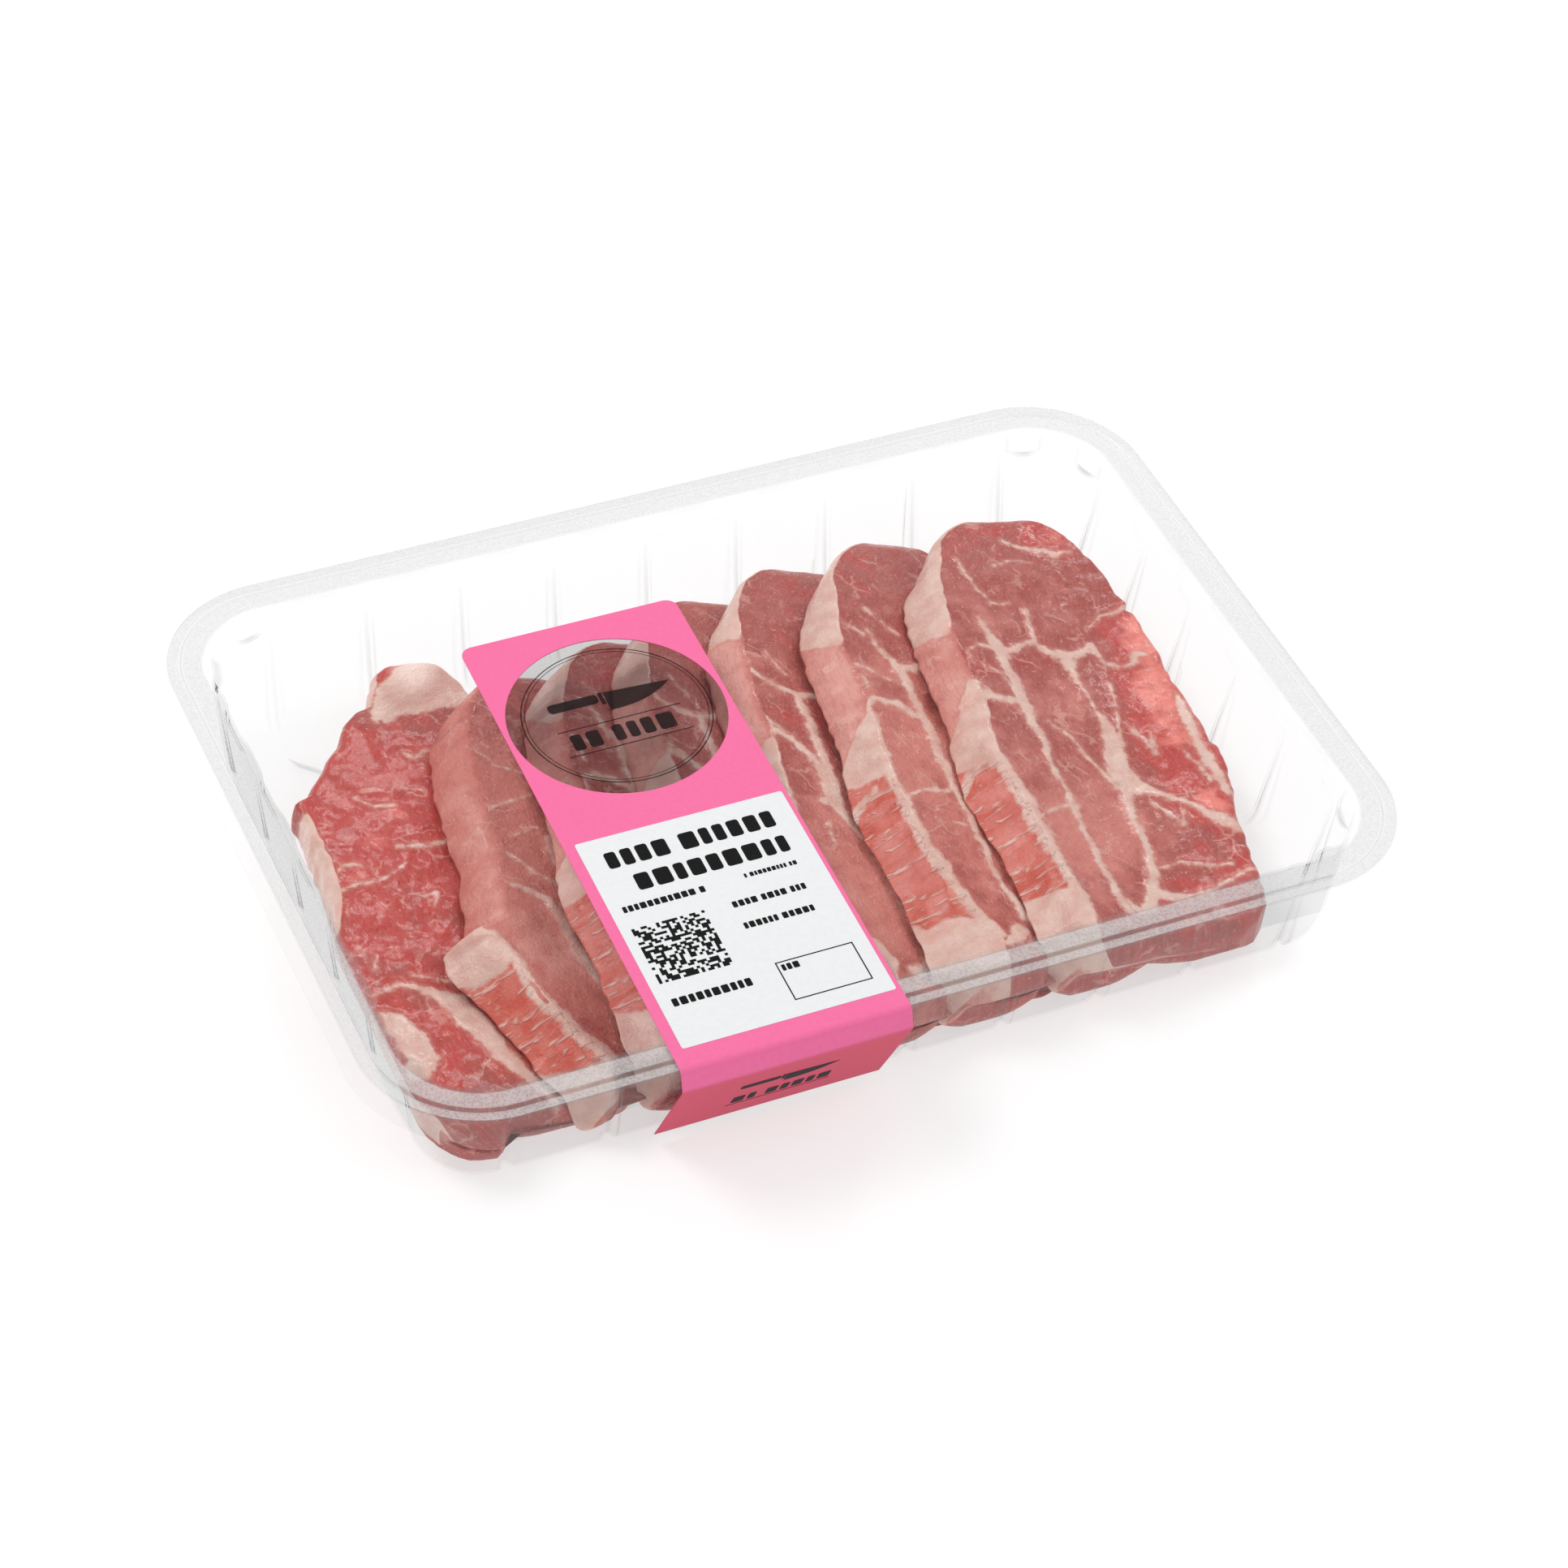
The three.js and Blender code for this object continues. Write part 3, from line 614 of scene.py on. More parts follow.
SEAMS_6 = [
    [(15, 38, 0.3), (17.5, 29, 0.8), (19.8, 25, 1.4), (20.3, 18, 1.3), (20.3, 9, 1.3),
     (21.5, 0, 1.3), (20.3, -12, 1.1), (20.8, -25, 1.0), (21.5, -40, 0.8), (22.5, -53, 0.7),
     (25, -61, 1.4), (30, -66, 2.2)],
    [(19.8, 25, 1.2), (24, 25.3, 1.3), (29, 27, 1.0)],
    [(19, 7.5, 1.1), (15, 10.8, 1.3), (10, 12.3, 1.0), (6.8, 10.5, 1.1), (5, 6, 2.4), (5, -2, 2.4),
     (5, -10, 1.9), (5.3, -19, 1.3), (5.5, -29, 1.6), (6.6, -38, 1.7), (8.2, -46, 1.6),
     (10.2, -54, 1.5), (13, -61, 1.6), (15.5, -67, 1.4)],
    [(8, -21.5, 0.5), (12, -19.8, 0.5), (18.5, -19, 0.4)],
    [(13, -14, 0.25), (15.5, -19.5, 0.35)],
    [(8.2, 25, 0.3), (12, 23.2, 0.3), (18, 20.5, 0.4)],
    [(8.8, 21, 0.25), (9.4, 17, 0.3)],
    [(17, 46, 0.25), (19.5, 42, 0.25), (24, 38, 0.3)],
    [(9, 40, 0.2), (14, 36, 0.3)],
    [(11, 70, 0.4), (10, 60, 0.4), (8.2, 48, 0.3), (7.2, 38, 0.2)],
    [(16, -31, 0.25), (19.5, -31, 0.3)],
    [(22, -66, 2.2), (17, -70, 1.2)],
]
SEAMS_5 = [
    [(2, 60, 0.4), (1, 50, 0.8), (0.5, 44, 1.1), (4.3, 38, 0.9), (9, 31.6, 0.8), (13, 27.6, 0.8),
     (18, 25, 1.0), (24, 25.2, 1.0)],
    [(18.2, 25, 1.1), (18.3, 17, 1.0), (18.6, 8, 1.3), (18, 0, 1.5), (17.3, -8, 1.9),
     (16.5, -14, 1.9), (18.3, -19, 0.9), (20.3, -26, 0.6), (22, -38, 0.5), (23.5, -50, 0.6),
     (26, -58, 1.1), (26, -64, 2.0), (20, -68, 1.6)],
    [(2, 16.5, 1.0), (7, 13, 0.9), (12, 8.5, 1.0), (15.2, 3, 1.2), (15.8, -5, 1.4),
     (15.5, -12, 1.5), (12.5, -12.5, 0.8)],
    [(4, 22, 0.3), (6, 17, 0.3), (12, 10, 0.4)],
    [(4, 9, 1.6), (3, 0, 2.0), (3.5, -10, 1.8), (4, -20, 1.3), (5, -34, 1.5), (7, -47, 1.6),
     (10, -58, 1.6), (14, -66, 2.4)],
    [(13, -20, 0.25), (12, -26, 0.25)],
    [(14, 40, 0.2), (17, 33, 0.3)],
]
SEAMS_2 = [
    [(12, -12, 0.35), (17, -13, 0.6), (22, -17, 0.9), (24, -25, 1.3), (25.2, -33, 1.6),
     (27.5, -41, 1.9), (30, -48, 1.8), (33.5, -55, 1.6), (37, -62, 1.4), (40, -68, 1.2)],
    [(2, -29.5, 1.4), (6, -30.5, 1.6), (8.3, -35, 1.3), (10.3, -42, 1.3), (13, -50, 1.5),
     (17, -57, 1.7), (21, -62.5, 1.8), (24.5, -68, 2.2)],
    [(9, 12, 0.3), (13, 8.5, 0.4), (16, 12, 0.3), (21, 15, 0.3), (28, 17, 0.3)],
    [(10, 0, 0.3), (15, -1.5, 0.35), (18, -3, 0.3), (22, -9, 0.6), (26, -12, 0.5)],
    [(11, 24, 0.35), (13, 20, 0.3), (12, 14, 0.5)],
    [(16, 32, 0.25), (21, 27, 0.25), (27, 25, 0.3)],
    [(19, 3, 0.3), (24, 6, 0.3), (30, 4, 0.3)],
    [(28, 2, 1.3), (29, -8, 2.2), (28, -18, 1.6)],
]
SEAMS_1 = [
    [(4, -34, 0.4), (10, -31.5, 0.4), (15, -32.5, 0.7), (19, -34.5, 1.7), (22, -38, 3.3),
     (24, -44, 3.4), (27, -50, 2.9), (30.5, -57, 2.1), (34.5, -64, 1.3), (38, -70, 1.0)],
    [(5, -40, 1.0), (7, -43, 3.6), (9.5, -48, 4.2), (10.5, -54, 3.6), (9, -58, 3.0)],
    [(5, -26, 0.3), (7, -22, 0.25)],
    [(1, 2, 0.3), (4, 6.3, 0.35), (9, 7, 0.3)],
    [(1, -2, 0.3), (8, 1, 0.35), (14, 2, 0.3), (20, 5.6, 0.25)],
    [(20, 12.5, 0.35), (27, 11, 0.5), (33, 13.6, 0.3)],
    [(28, 44, 0.5), (30.5, 42.5, 0.4), (33, 45, 0.3), (36, 44, 0.4)],
    [(14, -28.5, 0.3), (19, -29.5, 0.35), (24, -31, 0.6)],
    [(22, -5, 0.3), (26, -3, 0.3), (24, -8, 0.3)],
    [(12, 30, 0.2), (17, 26, 0.2), (22, 27, 0.25)],
    [(24, 56, 1.2), (26.5, 58.5, 3.4), (31, 63, 5.5), (37, 66, 7.5), (44, 67, 8.5), (52, 67, 8)],
]
SEAMS = [SEAMS_1, SEAMS_2, SEAMS_6, SEAMS_5, SEAMS_5, SEAMS_6, SEAMS_7]

# Where a left side changes, from the back: white fat, moist lean, the creamy tip, the ragged red
# strip and the white end. Each is its place at the upper edge and at the lower edge.
SIDE_BOUNDS = [
    dict(fat=(60, 60), tip=(26, 26), strip=(-14, -14), block=(-38, -38)),
    dict(fat=(70, 70), tip=(-26, -26), strip=(-39, -37), block=(-68, -63)),
    dict(fat=(30, 42), tip=(0, -12), strip=(-24, -22), block=(-60, -56)),
    dict(fat=(34, 44), tip=(14, 0), strip=(-10, -8), block=(-60, -56)),
    dict(fat=(44, 50), tip=(12, -3), strip=(-12, -10), block=(-60, -56)),
    dict(fat=(30, 41), tip=(9, -5), strip=(-13, -11), block=(-60, -55)),
    dict(fat=(27, 32), tip=(11.5, -6), strip=(-17, -14.5), block=(-61.5, -57)),
]

# Where an upper face is flushed redder than the rest, or paler below zero: distance across,
# distance along, reach, and how much. The first steak's last spot is painted light: it lightens the
# fat knob at its back, which faces away from the light.
FLUSHES_AND_PAINTED_LIGHT = [
    [(10, -5, 34, 0.35), (25, 25, 24, 0.25), (15, 40, 20, 0.25), (22, -58, 22, 0.25),
     (37, 70, 8, 1.2)],
    [(20, -5, 30, -0.5), (16, 24, 16, -0.4), (24, -38, 20, -0.9)],
    [(16, -30, 30, 0.1)],
    [(16, -30, 30, 0.1)],
    [(4, 36, 8, -0.35), (14, -40, 26, -0.7)],
    [(12, 25, 10, -0.25), (15, -5, 22, -0.5), (15, -42, 20, -0.5)],
    [(60, 24, 11, 1.0), (57, 4, 12, 0.8), (57, -14, 11, 0.75), (50, 66, 9, 0.7), (54, -36, 10, 0.6),
     (12, 33, 8, -0.2), (26, 4, 14, -0.35), (45, -60, 22, 0.25), (14, -40, 20, -0.45),
     (28, -40, 16, -0.3)],
]

# Where an upper face stands higher or lower than an even slope: distance across, distance along,
# reach, and millimetres.
LUMPS = [
    [(37, 70, 9, 2.6), (35, 58, 6, -1.4), (20, -33, 7, -0.8), (8, 0, 22, 0.8)],
    [(20, 20, 22, 0.8), (24, -30, 9, -1.0)],
    [(20, 20, 22, 0.8)],
    [(20, 20, 22, 0.8)],
    [(18, 50, 20, 0.8), (17, 24, 8, -0.6)],
    [(18, 48, 20, 0.9), (20, 24, 8, -0.7), (14, -34, 14, 0.5)],
    [(30, 45, 18, 1.0), (20, 14, 8, -0.7), (36, -24, 9, -0.9), (26, -2, 9, 0.5), (48, -8, 13, 0.8),
     (45, -56, 13, 0.7)],
]

# On the left of an upper face the cut rolls over into the leaning side. This is where it starts
# to: distance along and distance across.
ROLL_2 = [(-68, 24.5), (-62.5, 21), (-57, 17), (-50, 13), (-42, 10.3), (-35, 8.3), (-30.5, 6),
          (-27, -6)]
ROLL_5 = [(-66, 14), (-58, 10), (-47, 7), (-34, 5), (-20, 4), (-10, 3.5), (-2, -6)]
ROLL_6 = [(-67, 15.5), (-61, 13), (-54, 10.2), (-46, 8.2), (-38, 6.6), (-29, 5.5), (-19, 5.3),
          (-8, 5), (2, 2), (8, -6)]
ROLL_7 = [(-72, 9.5), (-64, 8.8), (-55, 7.6), (-46, 6.9), (-37, 6.3), (-29, 5.2), (-20, 4),
          (-13, 2), (-5, -6)]
ROLL_OVERS = [None, ROLL_2, ROLL_6, ROLL_5, ROLL_5, ROLL_6, ROLL_7]
ROLL_SLOPE = 0.5

# How much paler than the faces the lean of the left sides is. The first two steaks' are hardly so.
SIDE_PALER = 1.1
FIRST_SIDES_PALER = 0.3

# A white tendon crosses the red strip just in front of the creamy tip: depth, distance along, and
# half its width.
TENDON = [[(2.5, -14.5, 0.7), (6.5, -18, 1.3), (11.5, -22.5, 1.3)]]


def side_fat(number, depth, y):
    """Depth inside the fat of the left side, and the same for the red strip, in millimetres. Each
    bound runs straight from its place at the upper edge to its place at the lower edge."""
    at = {name: pair[0] + (pair[1] - pair[0]) * depth for name, pair in SIDE_BOUNDS[number].items()}
    fat = np.maximum(y - at["fat"], np.minimum(at["tip"] - y, y - at["strip"]))
    fat = np.maximum(fat, at["block"] - y)
    if number > 2:
        fat = np.maximum(fat, stroke_depth(depth * 11 + 0 * y, y + 0 * depth, TENDON))
    return fat, np.minimum(at["strip"] - y, y - at["block"])


BACK_ROUNDING = 6.0
NO_ROLL = -9.0
NOSE_FADE = (FRONT_Y + 0.8, FRONT_Y + 2.6)
FRONT_FADE = (FRONT_Y, FRONT_Y + 22)
FRONT_LEAN = 1.2
COVERED_BACK = 5.5
BULGE = 0.7


def rows_along(steak):
    """The places along a steak where its sections lie, from front to back: crowded by the cosine
    in both rounded ends, and even between them."""
    nose = FRONT_Y + FRONT_ROUNDING * (1 - np.cos(np.linspace(0, np.pi / 2, 12)[:-1]))
    tail = steak["back"] - BACK_ROUNDING * (1 - np.cos(np.linspace(np.pi / 2, 0, 14)[1:]))
    start, end = FRONT_Y + FRONT_ROUNDING, steak["back"] - BACK_ROUNDING
    middle = np.linspace(start, end, int((end - start) / CELL))
    return np.concatenate([nose, middle, tail])[:, None]


def bells(spots, across, y):
    """A sum of bell curves. Each has its place across and along, its reach, and its height."""
    total = 0
    for at_across, at_y, reach, amount in spots:
        total = total + amount * np.exp(-((across - at_across) ** 2 + (y - at_y) ** 2) / reach ** 2)
    return total


def cut_paint(number, placed, pushed, y, level, on_side, roll_line):
    """The depth inside the fat and inside the red strip at each point. The face shows its seams,
    and the side, with the part that rolls over into it, shows the bounds of the side. At the front
    end the fat is held to the upper part of the cut."""
    depth = (1 - level) / 2
    wander = 0.75 * lattice_noise(placed, pushed, 5.5, 80 + number)
    drift = 0.75 * lattice_noise(placed, pushed, 5.5, 90 + number)
    seams = stroke_depth(placed + wander, pushed + drift, SEAMS[number])
    face_seams = np.where((level > 0) | (y < FRONT_Y + 6), seams, -3.0)
    cut_fat, strip = side_fat(number, depth, pushed + 1.6 * wander + 0.5 * drift)
    rolled = smooth_step(-0.8, 0.8, roll_line - placed - wander) * (level > 0)
    side_share = np.maximum(on_side, rolled)
    rolled_fat = np.maximum(face_seams, cut_fat * side_share - 3 * (1 - side_share))
    fat = np.where(side_share > 0, rolled_fat, face_seams)
    plain_side = on_side * (rolled < 0.5)
    fat = fat * (1 - plain_side) + cut_fat * plain_side
    at_nose = 1 - smooth_step(*NOSE_FADE, y)
    fat = fat + (np.minimum(fat, 1.2 - 4.5 * depth + 2.0 * drift) - fat) * at_nose
    if number == 0:
        return fat, -2 + 0 * fat
    return fat, np.clip(strip, -2, 2) * side_share - 2 * (1 - side_share)


def upper_and_lower(number, placed, y):
    """Heights of the two faces. Near the front end a steak hangs down into its bay of the tray, in
    a lump lowest a little right of its left edge, which rises by the square of the distance."""
    upper = face_height(STEAKS[number], placed)
    lower = np.minimum(lower_height(number, placed), upper - 1.5)
    rise = 6 * np.clip(np.abs(placed - 11) / 14, 0, 1) ** 2
    lump_low = 1.6 + rise + 0.8 * lattice_noise(placed, 3, 9, 15 + number)
    at_end = 1 - smooth_step(FRONT_Y + 3, FRONT_Y + 6, y)
    hangs = (1 - smooth_step(23, 27, placed)) * at_end * (number > 0)
    return upper, lower + (np.minimum(lump_low, lower) - lower) * hangs


def add_cut_map(mesh, u, v):
    """A UV map from two grids in millimetres, over a hundred, with the fan centres added."""
    flat = np.stack([u.ravel() / 100, v.ravel() / 100], -1)
    flat = np.concatenate([flat, flat[:1], flat[-1:]])
    corners = np.zeros(len(mesh.loops), np.int32)
    mesh.loops.foreach_get("vertex_index", corners)
    layer = mesh.uv_layers.new(name="cut_mm")
    layer.data.foreach_set("uv", flat[corners].astype(np.float32).ravel())


def build_steak(number):
    """One steak: cross sections along its length, closed at both ends, with the fat, the red strip
    and the flush of the lean, with the painted light on the first steak's knob, kept at each point,
    and a UV map in millimetres over a hundred."""
    steak = STEAKS[number]
    share, offset, level, on_side = section_columns(steak["width"], steak["thick"])
    y = rows_along(steak)

    left, right = side_edges(steak, np.minimum(y, steak["back"] - 0.1))
    ragged = 0.5 * lattice_noise(y, 0, 7, 40 + number)
    ragged = ragged + 0.35 * lattice_noise(y, 0, 2.6, 50 + number)
    left = left + ragged * smooth_step(-0.2, 6, right - left)
    right = right + 1.2 * lattice_noise(y, 5, 8, 60 + number)
    right = right + 0.4 * lattice_noise(y, 5, 2.5, 70 + number)
    right = np.maximum(right, left + 0.5)

    narrow = np.minimum(1, (right - left) / (3 * CORNER_ROUNDING))
    across = left + share * (right - left) + offset * narrow
    to_left = 1 - np.clip((across - left) / (right - left), 0, 1)
    lean = steak["lean"] * (1 - smooth_step(42, 74, y))
    depth = (1 - level) / 2
    bulge = BULGE * (1 - level ** 2) * (on_side > 0.95) * narrow
    placed = across + lean * level * to_left / 2 - bulge
    at_front = 1 - smooth_step(*FRONT_FADE, y)
    covered = smooth_step(23, 28, placed) * (number < len(STEAKS) - 1)
    pushed = y + (FRONT_LEAN * depth + COVERED_BACK * covered) * at_front

    roll_line = np.full(y.shape, NO_ROLL)
    if ROLL_OVERS[number]:
        roll_line = np.interp(y, *np.array(ROLL_OVERS[number]).T)
    fat, strip = cut_paint(number, placed, pushed, y, level, on_side, roll_line)

    swell = 0.5 * lattice_noise(placed, pushed, 13, 20 + number)
    swell = swell + 0.22 * lattice_noise(placed, pushed, 4, 30 + number)
    swell = swell + bells(LUMPS[number], placed, pushed)
    grain = 0.07 * lattice_noise(placed, pushed, 1.3, 35 + number)
    ridge = 0.16 * np.clip(fat + 0.4, -1, 1.2)
    roll = ROLL_SLOPE * np.maximum(0, roll_line - placed) * (1 - depth)
    relief = (swell + ridge + grain - 0.25) * np.clip(level, 0, 1) - roll
    upper, lower = upper_and_lower(number, placed, y)
    back_round = np.clip(1 - (steak["back"] - y) / BACK_ROUNDING, 0, 1)
    front_round = np.clip(1 - (y - FRONT_Y) / FRONT_ROUNDING, 0, 1)
    fullness = np.minimum(np.sqrt(1 - 0.99 * back_round ** 2), np.sqrt(1 - 0.99 * front_round ** 2))
    middle_height = (upper + lower) / 2 - 1.5 * front_round
    z = middle_height + (upper - lower) / 2 * level * fullness + relief * fullness
    x = (steak["edge"] + placed + pushed * math.sin(SHINGLE_TURN)) / math.cos(SHINGLE_TURN)
    x, inner_y = inside_tray(x, pushed, z)
    mesh = closed_rings(f"steak_{number + 1}_cut", np.stack([x, inner_y, z + 0 * x], -1))

    flush_and_painted_light = 0.18 * lattice_noise(placed, pushed, 16, 110 + number)
    flush_and_painted_light = flush_and_painted_light + bells(FLUSHES_AND_PAINTED_LIGHT[number], placed, pushed)
    flush_and_painted_light = flush_and_painted_light - (SIDE_PALER if number > 1 else FIRST_SIDES_PALER) * on_side
    set_attribute(mesh, "fat_depth", fat)
    set_attribute(mesh, "strip_depth", strip)
    set_attribute(mesh, "flush_and_painted_light", flush_and_painted_light)
    down_side = -depth * steak["thick"] - np.maximum(0, roll_line - left)
    past_roll = placed - np.maximum(roll_line, left)
    add_cut_map(mesh, np.where(on_side > 0, down_side, past_roll), pushed)
    return mesh


def noise(scale_mm, detail=2.0, vector=None, distortion=0.0):
    """Noise whose blotches are about that many millimetres across."""
    node = add_node(
        tree, "ShaderNodeTexNoise", {"Vector": vector or spot}, Scale=1 / (scale_mm * MM),
        Detail=detail, Distortion=distortion,
    )
    return node.outputs["Fac"]


# Raw pork is moist lean with a fine grain, threaded with thin white marbling, between seams of
# firm white fat. The ragged side strip is lean and fat in thin leaves across its width.
raw_pork, tree, output = new_material("raw_pork_knife_cut")
spot = object_place()
flush_and_painted_light = attribute("flush_and_painted_light")
ragged_edge = sum_of(ranged(noise(2.2, 3), 0.3, 0.7, -0.45, 0.45), attribute("fat_depth"))
fat_share = ranged(ragged_edge, -0.55, 0.65)
fat_halo = ranged(ragged_edge, -1.7, -0.1)
redness = sum_of(flush_and_painted_light, ranged(noise(7, 3), 0.25, 0.75, -0.22, 0.22))
lean = blend(ranged(redness, -1.3, -0.6), "#e2a196", "#cf7c71")
lean = blend(ranged(redness, -0.55, 0.0), lean, "#a64a42")
lean = blend(ranged(redness, 0.0, 0.4), lean, "#bf3c37")
lean = blend(ranged(redness, 0.5, 0.9), lean, "#f58a7d")
strip_map = add_node(tree, "ShaderNodeUVMap", uv_map="cut_mm")
along_fibre = add_node(
    tree, "ShaderNodeMapping", {"Vector": strip_map.outputs["UV"]}, Scale=(1.0, 0.17, 1.0),
    Rotation=(0, 0, math.radians(-12)),
)
fibres = noise(9, 4, along_fibre.outputs["Vector"], 0.25)
drawn_out = add_node(tree, "ShaderNodeMapping", {"Vector": spot}, Scale=(1.0, 0.5, 1.0))
lean = blend(sum_of(ranged(fibres, 0.4, 0.7), 0.4, "MULTIPLY"), lean, "#c06c62")
lean = blend(sum_of(ranged(fibres, 0.5, 0.25), 0.3, "MULTIPLY"), lean, "#a24a43")
lean = blend(sum_of(ranged(noise(5.5, 2), 0.52, 0.8), 0.35, "MULTIPLY"), lean, "#9f473f")

web = add_node(
    tree, "ShaderNodeTexVoronoi", feature="DISTANCE_TO_EDGE", Scale=1 / (9 * MM), Randomness=1.0,
)
bent = add_node(tree, "ShaderNodeVectorMath", operation="MULTIPLY_ADD")
wobble = add_node(tree, "ShaderNodeTexNoise", {"Vector": spot}, Scale=1 / (4 * MM), Detail=2.0)
tree.links.new(wobble.outputs["Color"], bent.inputs[0])
bent.inputs[1].default_value = (5 * MM,) * 3
tree.links.new(spot, bent.inputs[2])
tree.links.new(bent.outputs[0], web.inputs["Vector"])
thread = ranged(web.outputs["Distance"], 0.05, 0.015)
thread = sum_of(thread, ranged(noise(9, 2), 0.48, 0.62), "MULTIPLY")
lean = blend(sum_of(thread, 0.5, "MULTIPLY"), lean, "#dba396")
lean = blend(sum_of(fat_halo, 0.4, "MULTIPLY"), lean, "#cc8479")
# Tiny pale specks drawn out along the grain are painted glints, standing in for the highlights on
# the moist lean.
painted_glints = ranged(noise(0.75, 2, drawn_out.outputs["Vector"]), 0.62, 0.72)
lean = blend(sum_of(painted_glints, 0.4, "MULTIPLY"), lean, "#e3b3aa")

leaf_place = add_node(
    tree, "ShaderNodeMapping", {"Vector": strip_map.outputs["UV"]}, Scale=(0.25, 1.0, 1.0),
    Rotation=(0, 0, math.radians(14)),
)
LEAF = 1.5 / 100
leaves = add_node(
    tree, "ShaderNodeTexNoise", {"Vector": leaf_place.outputs["Vector"]}, Scale=1 / LEAF,
    Detail=2.0, Distortion=0.4,
)
leaf_line = ranged(leaves.outputs["Fac"], 0.53, 0.67)
strip_lean = blend(ranged(noise(6, 2), 0.3, 0.7), "#d9786a", "#c9513f")
map_axes = add_node(tree, "ShaderNodeSeparateXYZ", {"Vector": strip_map.outputs["UV"]})
near_edge = ranged(map_axes.outputs["X"], -4.5 / 100, -0.5 / 100)
strip_lean = blend(sum_of(near_edge, 0.75, "MULTIPLY"), strip_lean, "#ea9d86")
strip_colour = blend(sum_of(leaf_line, 0.7, "MULTIPLY"), strip_lean, "#ecbfb3")
ragged_strip = sum_of(attribute("strip_depth"), ranged(noise(2, 2), 0.3, 0.7, -0.6, 0.6))
strip_share = ranged(ragged_strip, -0.5, 0.7)
lean = blend(strip_share, lean, strip_colour)

fat_colour = blend(ranged(noise(5, 3), 0.3, 0.7), "#e4c2b5", "#d8aa9d")
fat_colour = blend(sum_of(ranged(noise(11, 2), 0.55, 0.8), 0.5, "MULTIPLY"), fat_colour, "#e6a596")
# Where the flush runs high, lean and fat turn paler; on the first steak's knob this is painted
# light on fat that lies in shade.
fat_colour = blend(ranged(flush_and_painted_light, 0.5, 1.2), fat_colour, "#f8ddd2")
pork_colour = blend(fat_share, lean, fat_colour)

fibre = noise(0.7, 3)
rise = sum_of(sum_of(fibre, 0.5, "MULTIPLY"), sum_of(noise(2.4, 2), 0.5, "MULTIPLY"))
rise = sum_of(rise, sum_of(leaf_line, sum_of(strip_share, 0.8, "MULTIPLY"), "MULTIPLY"))
rough_cut = add_node(tree, "ShaderNodeBump", {"Height": rise}, Strength=0.75, Distance=0.7 * MM)
moisture = ranged(noise(1.8, 2), 0.3, 0.7, 0.24, 0.5)
surface(
    {"Base Color": pork_colour, "Roughness": moisture, "Normal": rough_cut.outputs[0]},
    IOR=1.36, Coat_Weight=0.3, Coat_Roughness=0.1, Coat_IOR=1.33,
    Subsurface_Weight=0.12, Subsurface_Radius=(1.0, 0.35, 0.25), Subsurface_Scale=2.5 * MM,
)

for number in range(len(STEAKS)):
    steak_piece = new_piece(f"steak_{number + 1}_cut", build_steak(number), raw_pork)
    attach(steak_piece, "root")
    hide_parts(f"steak_{number + 1}")


# The lid is a taut clear film, sealed hot to the flange all round. It lies flat, with the
# slightest sag and a few faint pulls, and shows only as a thin gloss.
FILM_LOW = 35.25
FILM_THICK = 0.06
FILM_INSET = 1.6


def film_grid(columns, rows):
    """A flat sheet in a rectangle with round corners: the unit square's points keep their place on
    the straight sides, and each row is shortened near the ends by the corner's circle."""
    half_x = TRAY_LENGTH / 2 - FILM_INSET
    half_y = TRAY_WIDTH / 2 - FILM_INSET
    radius = LIP_CORNER_RADIUS - FILM_INSET
    eased = np.sin(np.linspace(-np.pi / 2, np.pi / 2, rows))
    y = half_y * (0.6 * np.linspace(-1, 1, rows) + 0.4 * eased)[:, None]
    past = np.maximum(0, np.abs(y) - (half_y - radius))
    reach = half_x - radius + np.sqrt(np.maximum(radius ** 2 - past ** 2, 0))
    x = reach * np.linspace(-1, 1, columns)
    sag = -0.12 * (1 - (x / half_x) ** 2) * (1 - (y / half_y) ** 2)
    pulls = 0.05 * lattice_noise(x * 0.3 + y * 0.2, y, 14, 7) * (1 - (np.abs(y) / half_y) ** 6)
    return np.stack([x, y + 0 * x, FILM_LOW + sag + pulls + 0 * x], -1)


def sheet_mesh(name, grid):
    """A single-faced sheet from a grid of points in millimetres, facing up."""
    rows, columns = grid.shape[:2]
    corner = np.arange((rows - 1) * columns).reshape(rows - 1, columns)[:, :-1]
    quads = np.stack([corner, corner + 1, corner + columns + 1, corner + columns], -1)
    mesh = bpy.data.meshes.new(name)
    mesh.from_pydata((grid.reshape(-1, 3) * MM).tolist(), [], quads.reshape(-1, 4).tolist())
    mesh.shade_smooth()
    return mesh


def thicken(piece, thickness_mm):
    """Gives a sheet its thickness above its own face, and closes its edges, which stay sharp."""
    mesh = piece.data
    sides = np.zeros(len(mesh.loops), np.int32)
    mesh.loops.foreach_get("edge_index", sides)
    at_boundary = np.bincount(sides, minlength=len(mesh.edges)) < 2
    mesh.attributes.new("sharp_edge", "BOOLEAN", "EDGE").data.foreach_set("value", at_boundary)
    solid = piece.modifiers.new("thickness", "SOLIDIFY")
    solid.thickness = thickness_mm * MM
    solid.offset = 1.0
    solid.use_even_offset = True


# Clear polyester film, stretched and heat sealed: nearly nothing seen square on, and a whitish
# veil where it is seen edge on, which is a painted sheen standing in for the film's reflection.
clear_film, tree, output = new_material("clear_film_heat_sealed")
surface(
    {"Alpha": edge_veil(4.0, 0.005, 0.3)}, Base_Color=from_hex("#f2f3f4"), Roughness=0.06, IOR=1.5,
)
film = new_piece("lid_film_sealed", sheet_mesh("lid_film_sealed", film_grid(90, 70)), clear_film)
film.visible_shadow = False
thicken(film, FILM_THICK)
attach(film, "root")
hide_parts("lid_film")


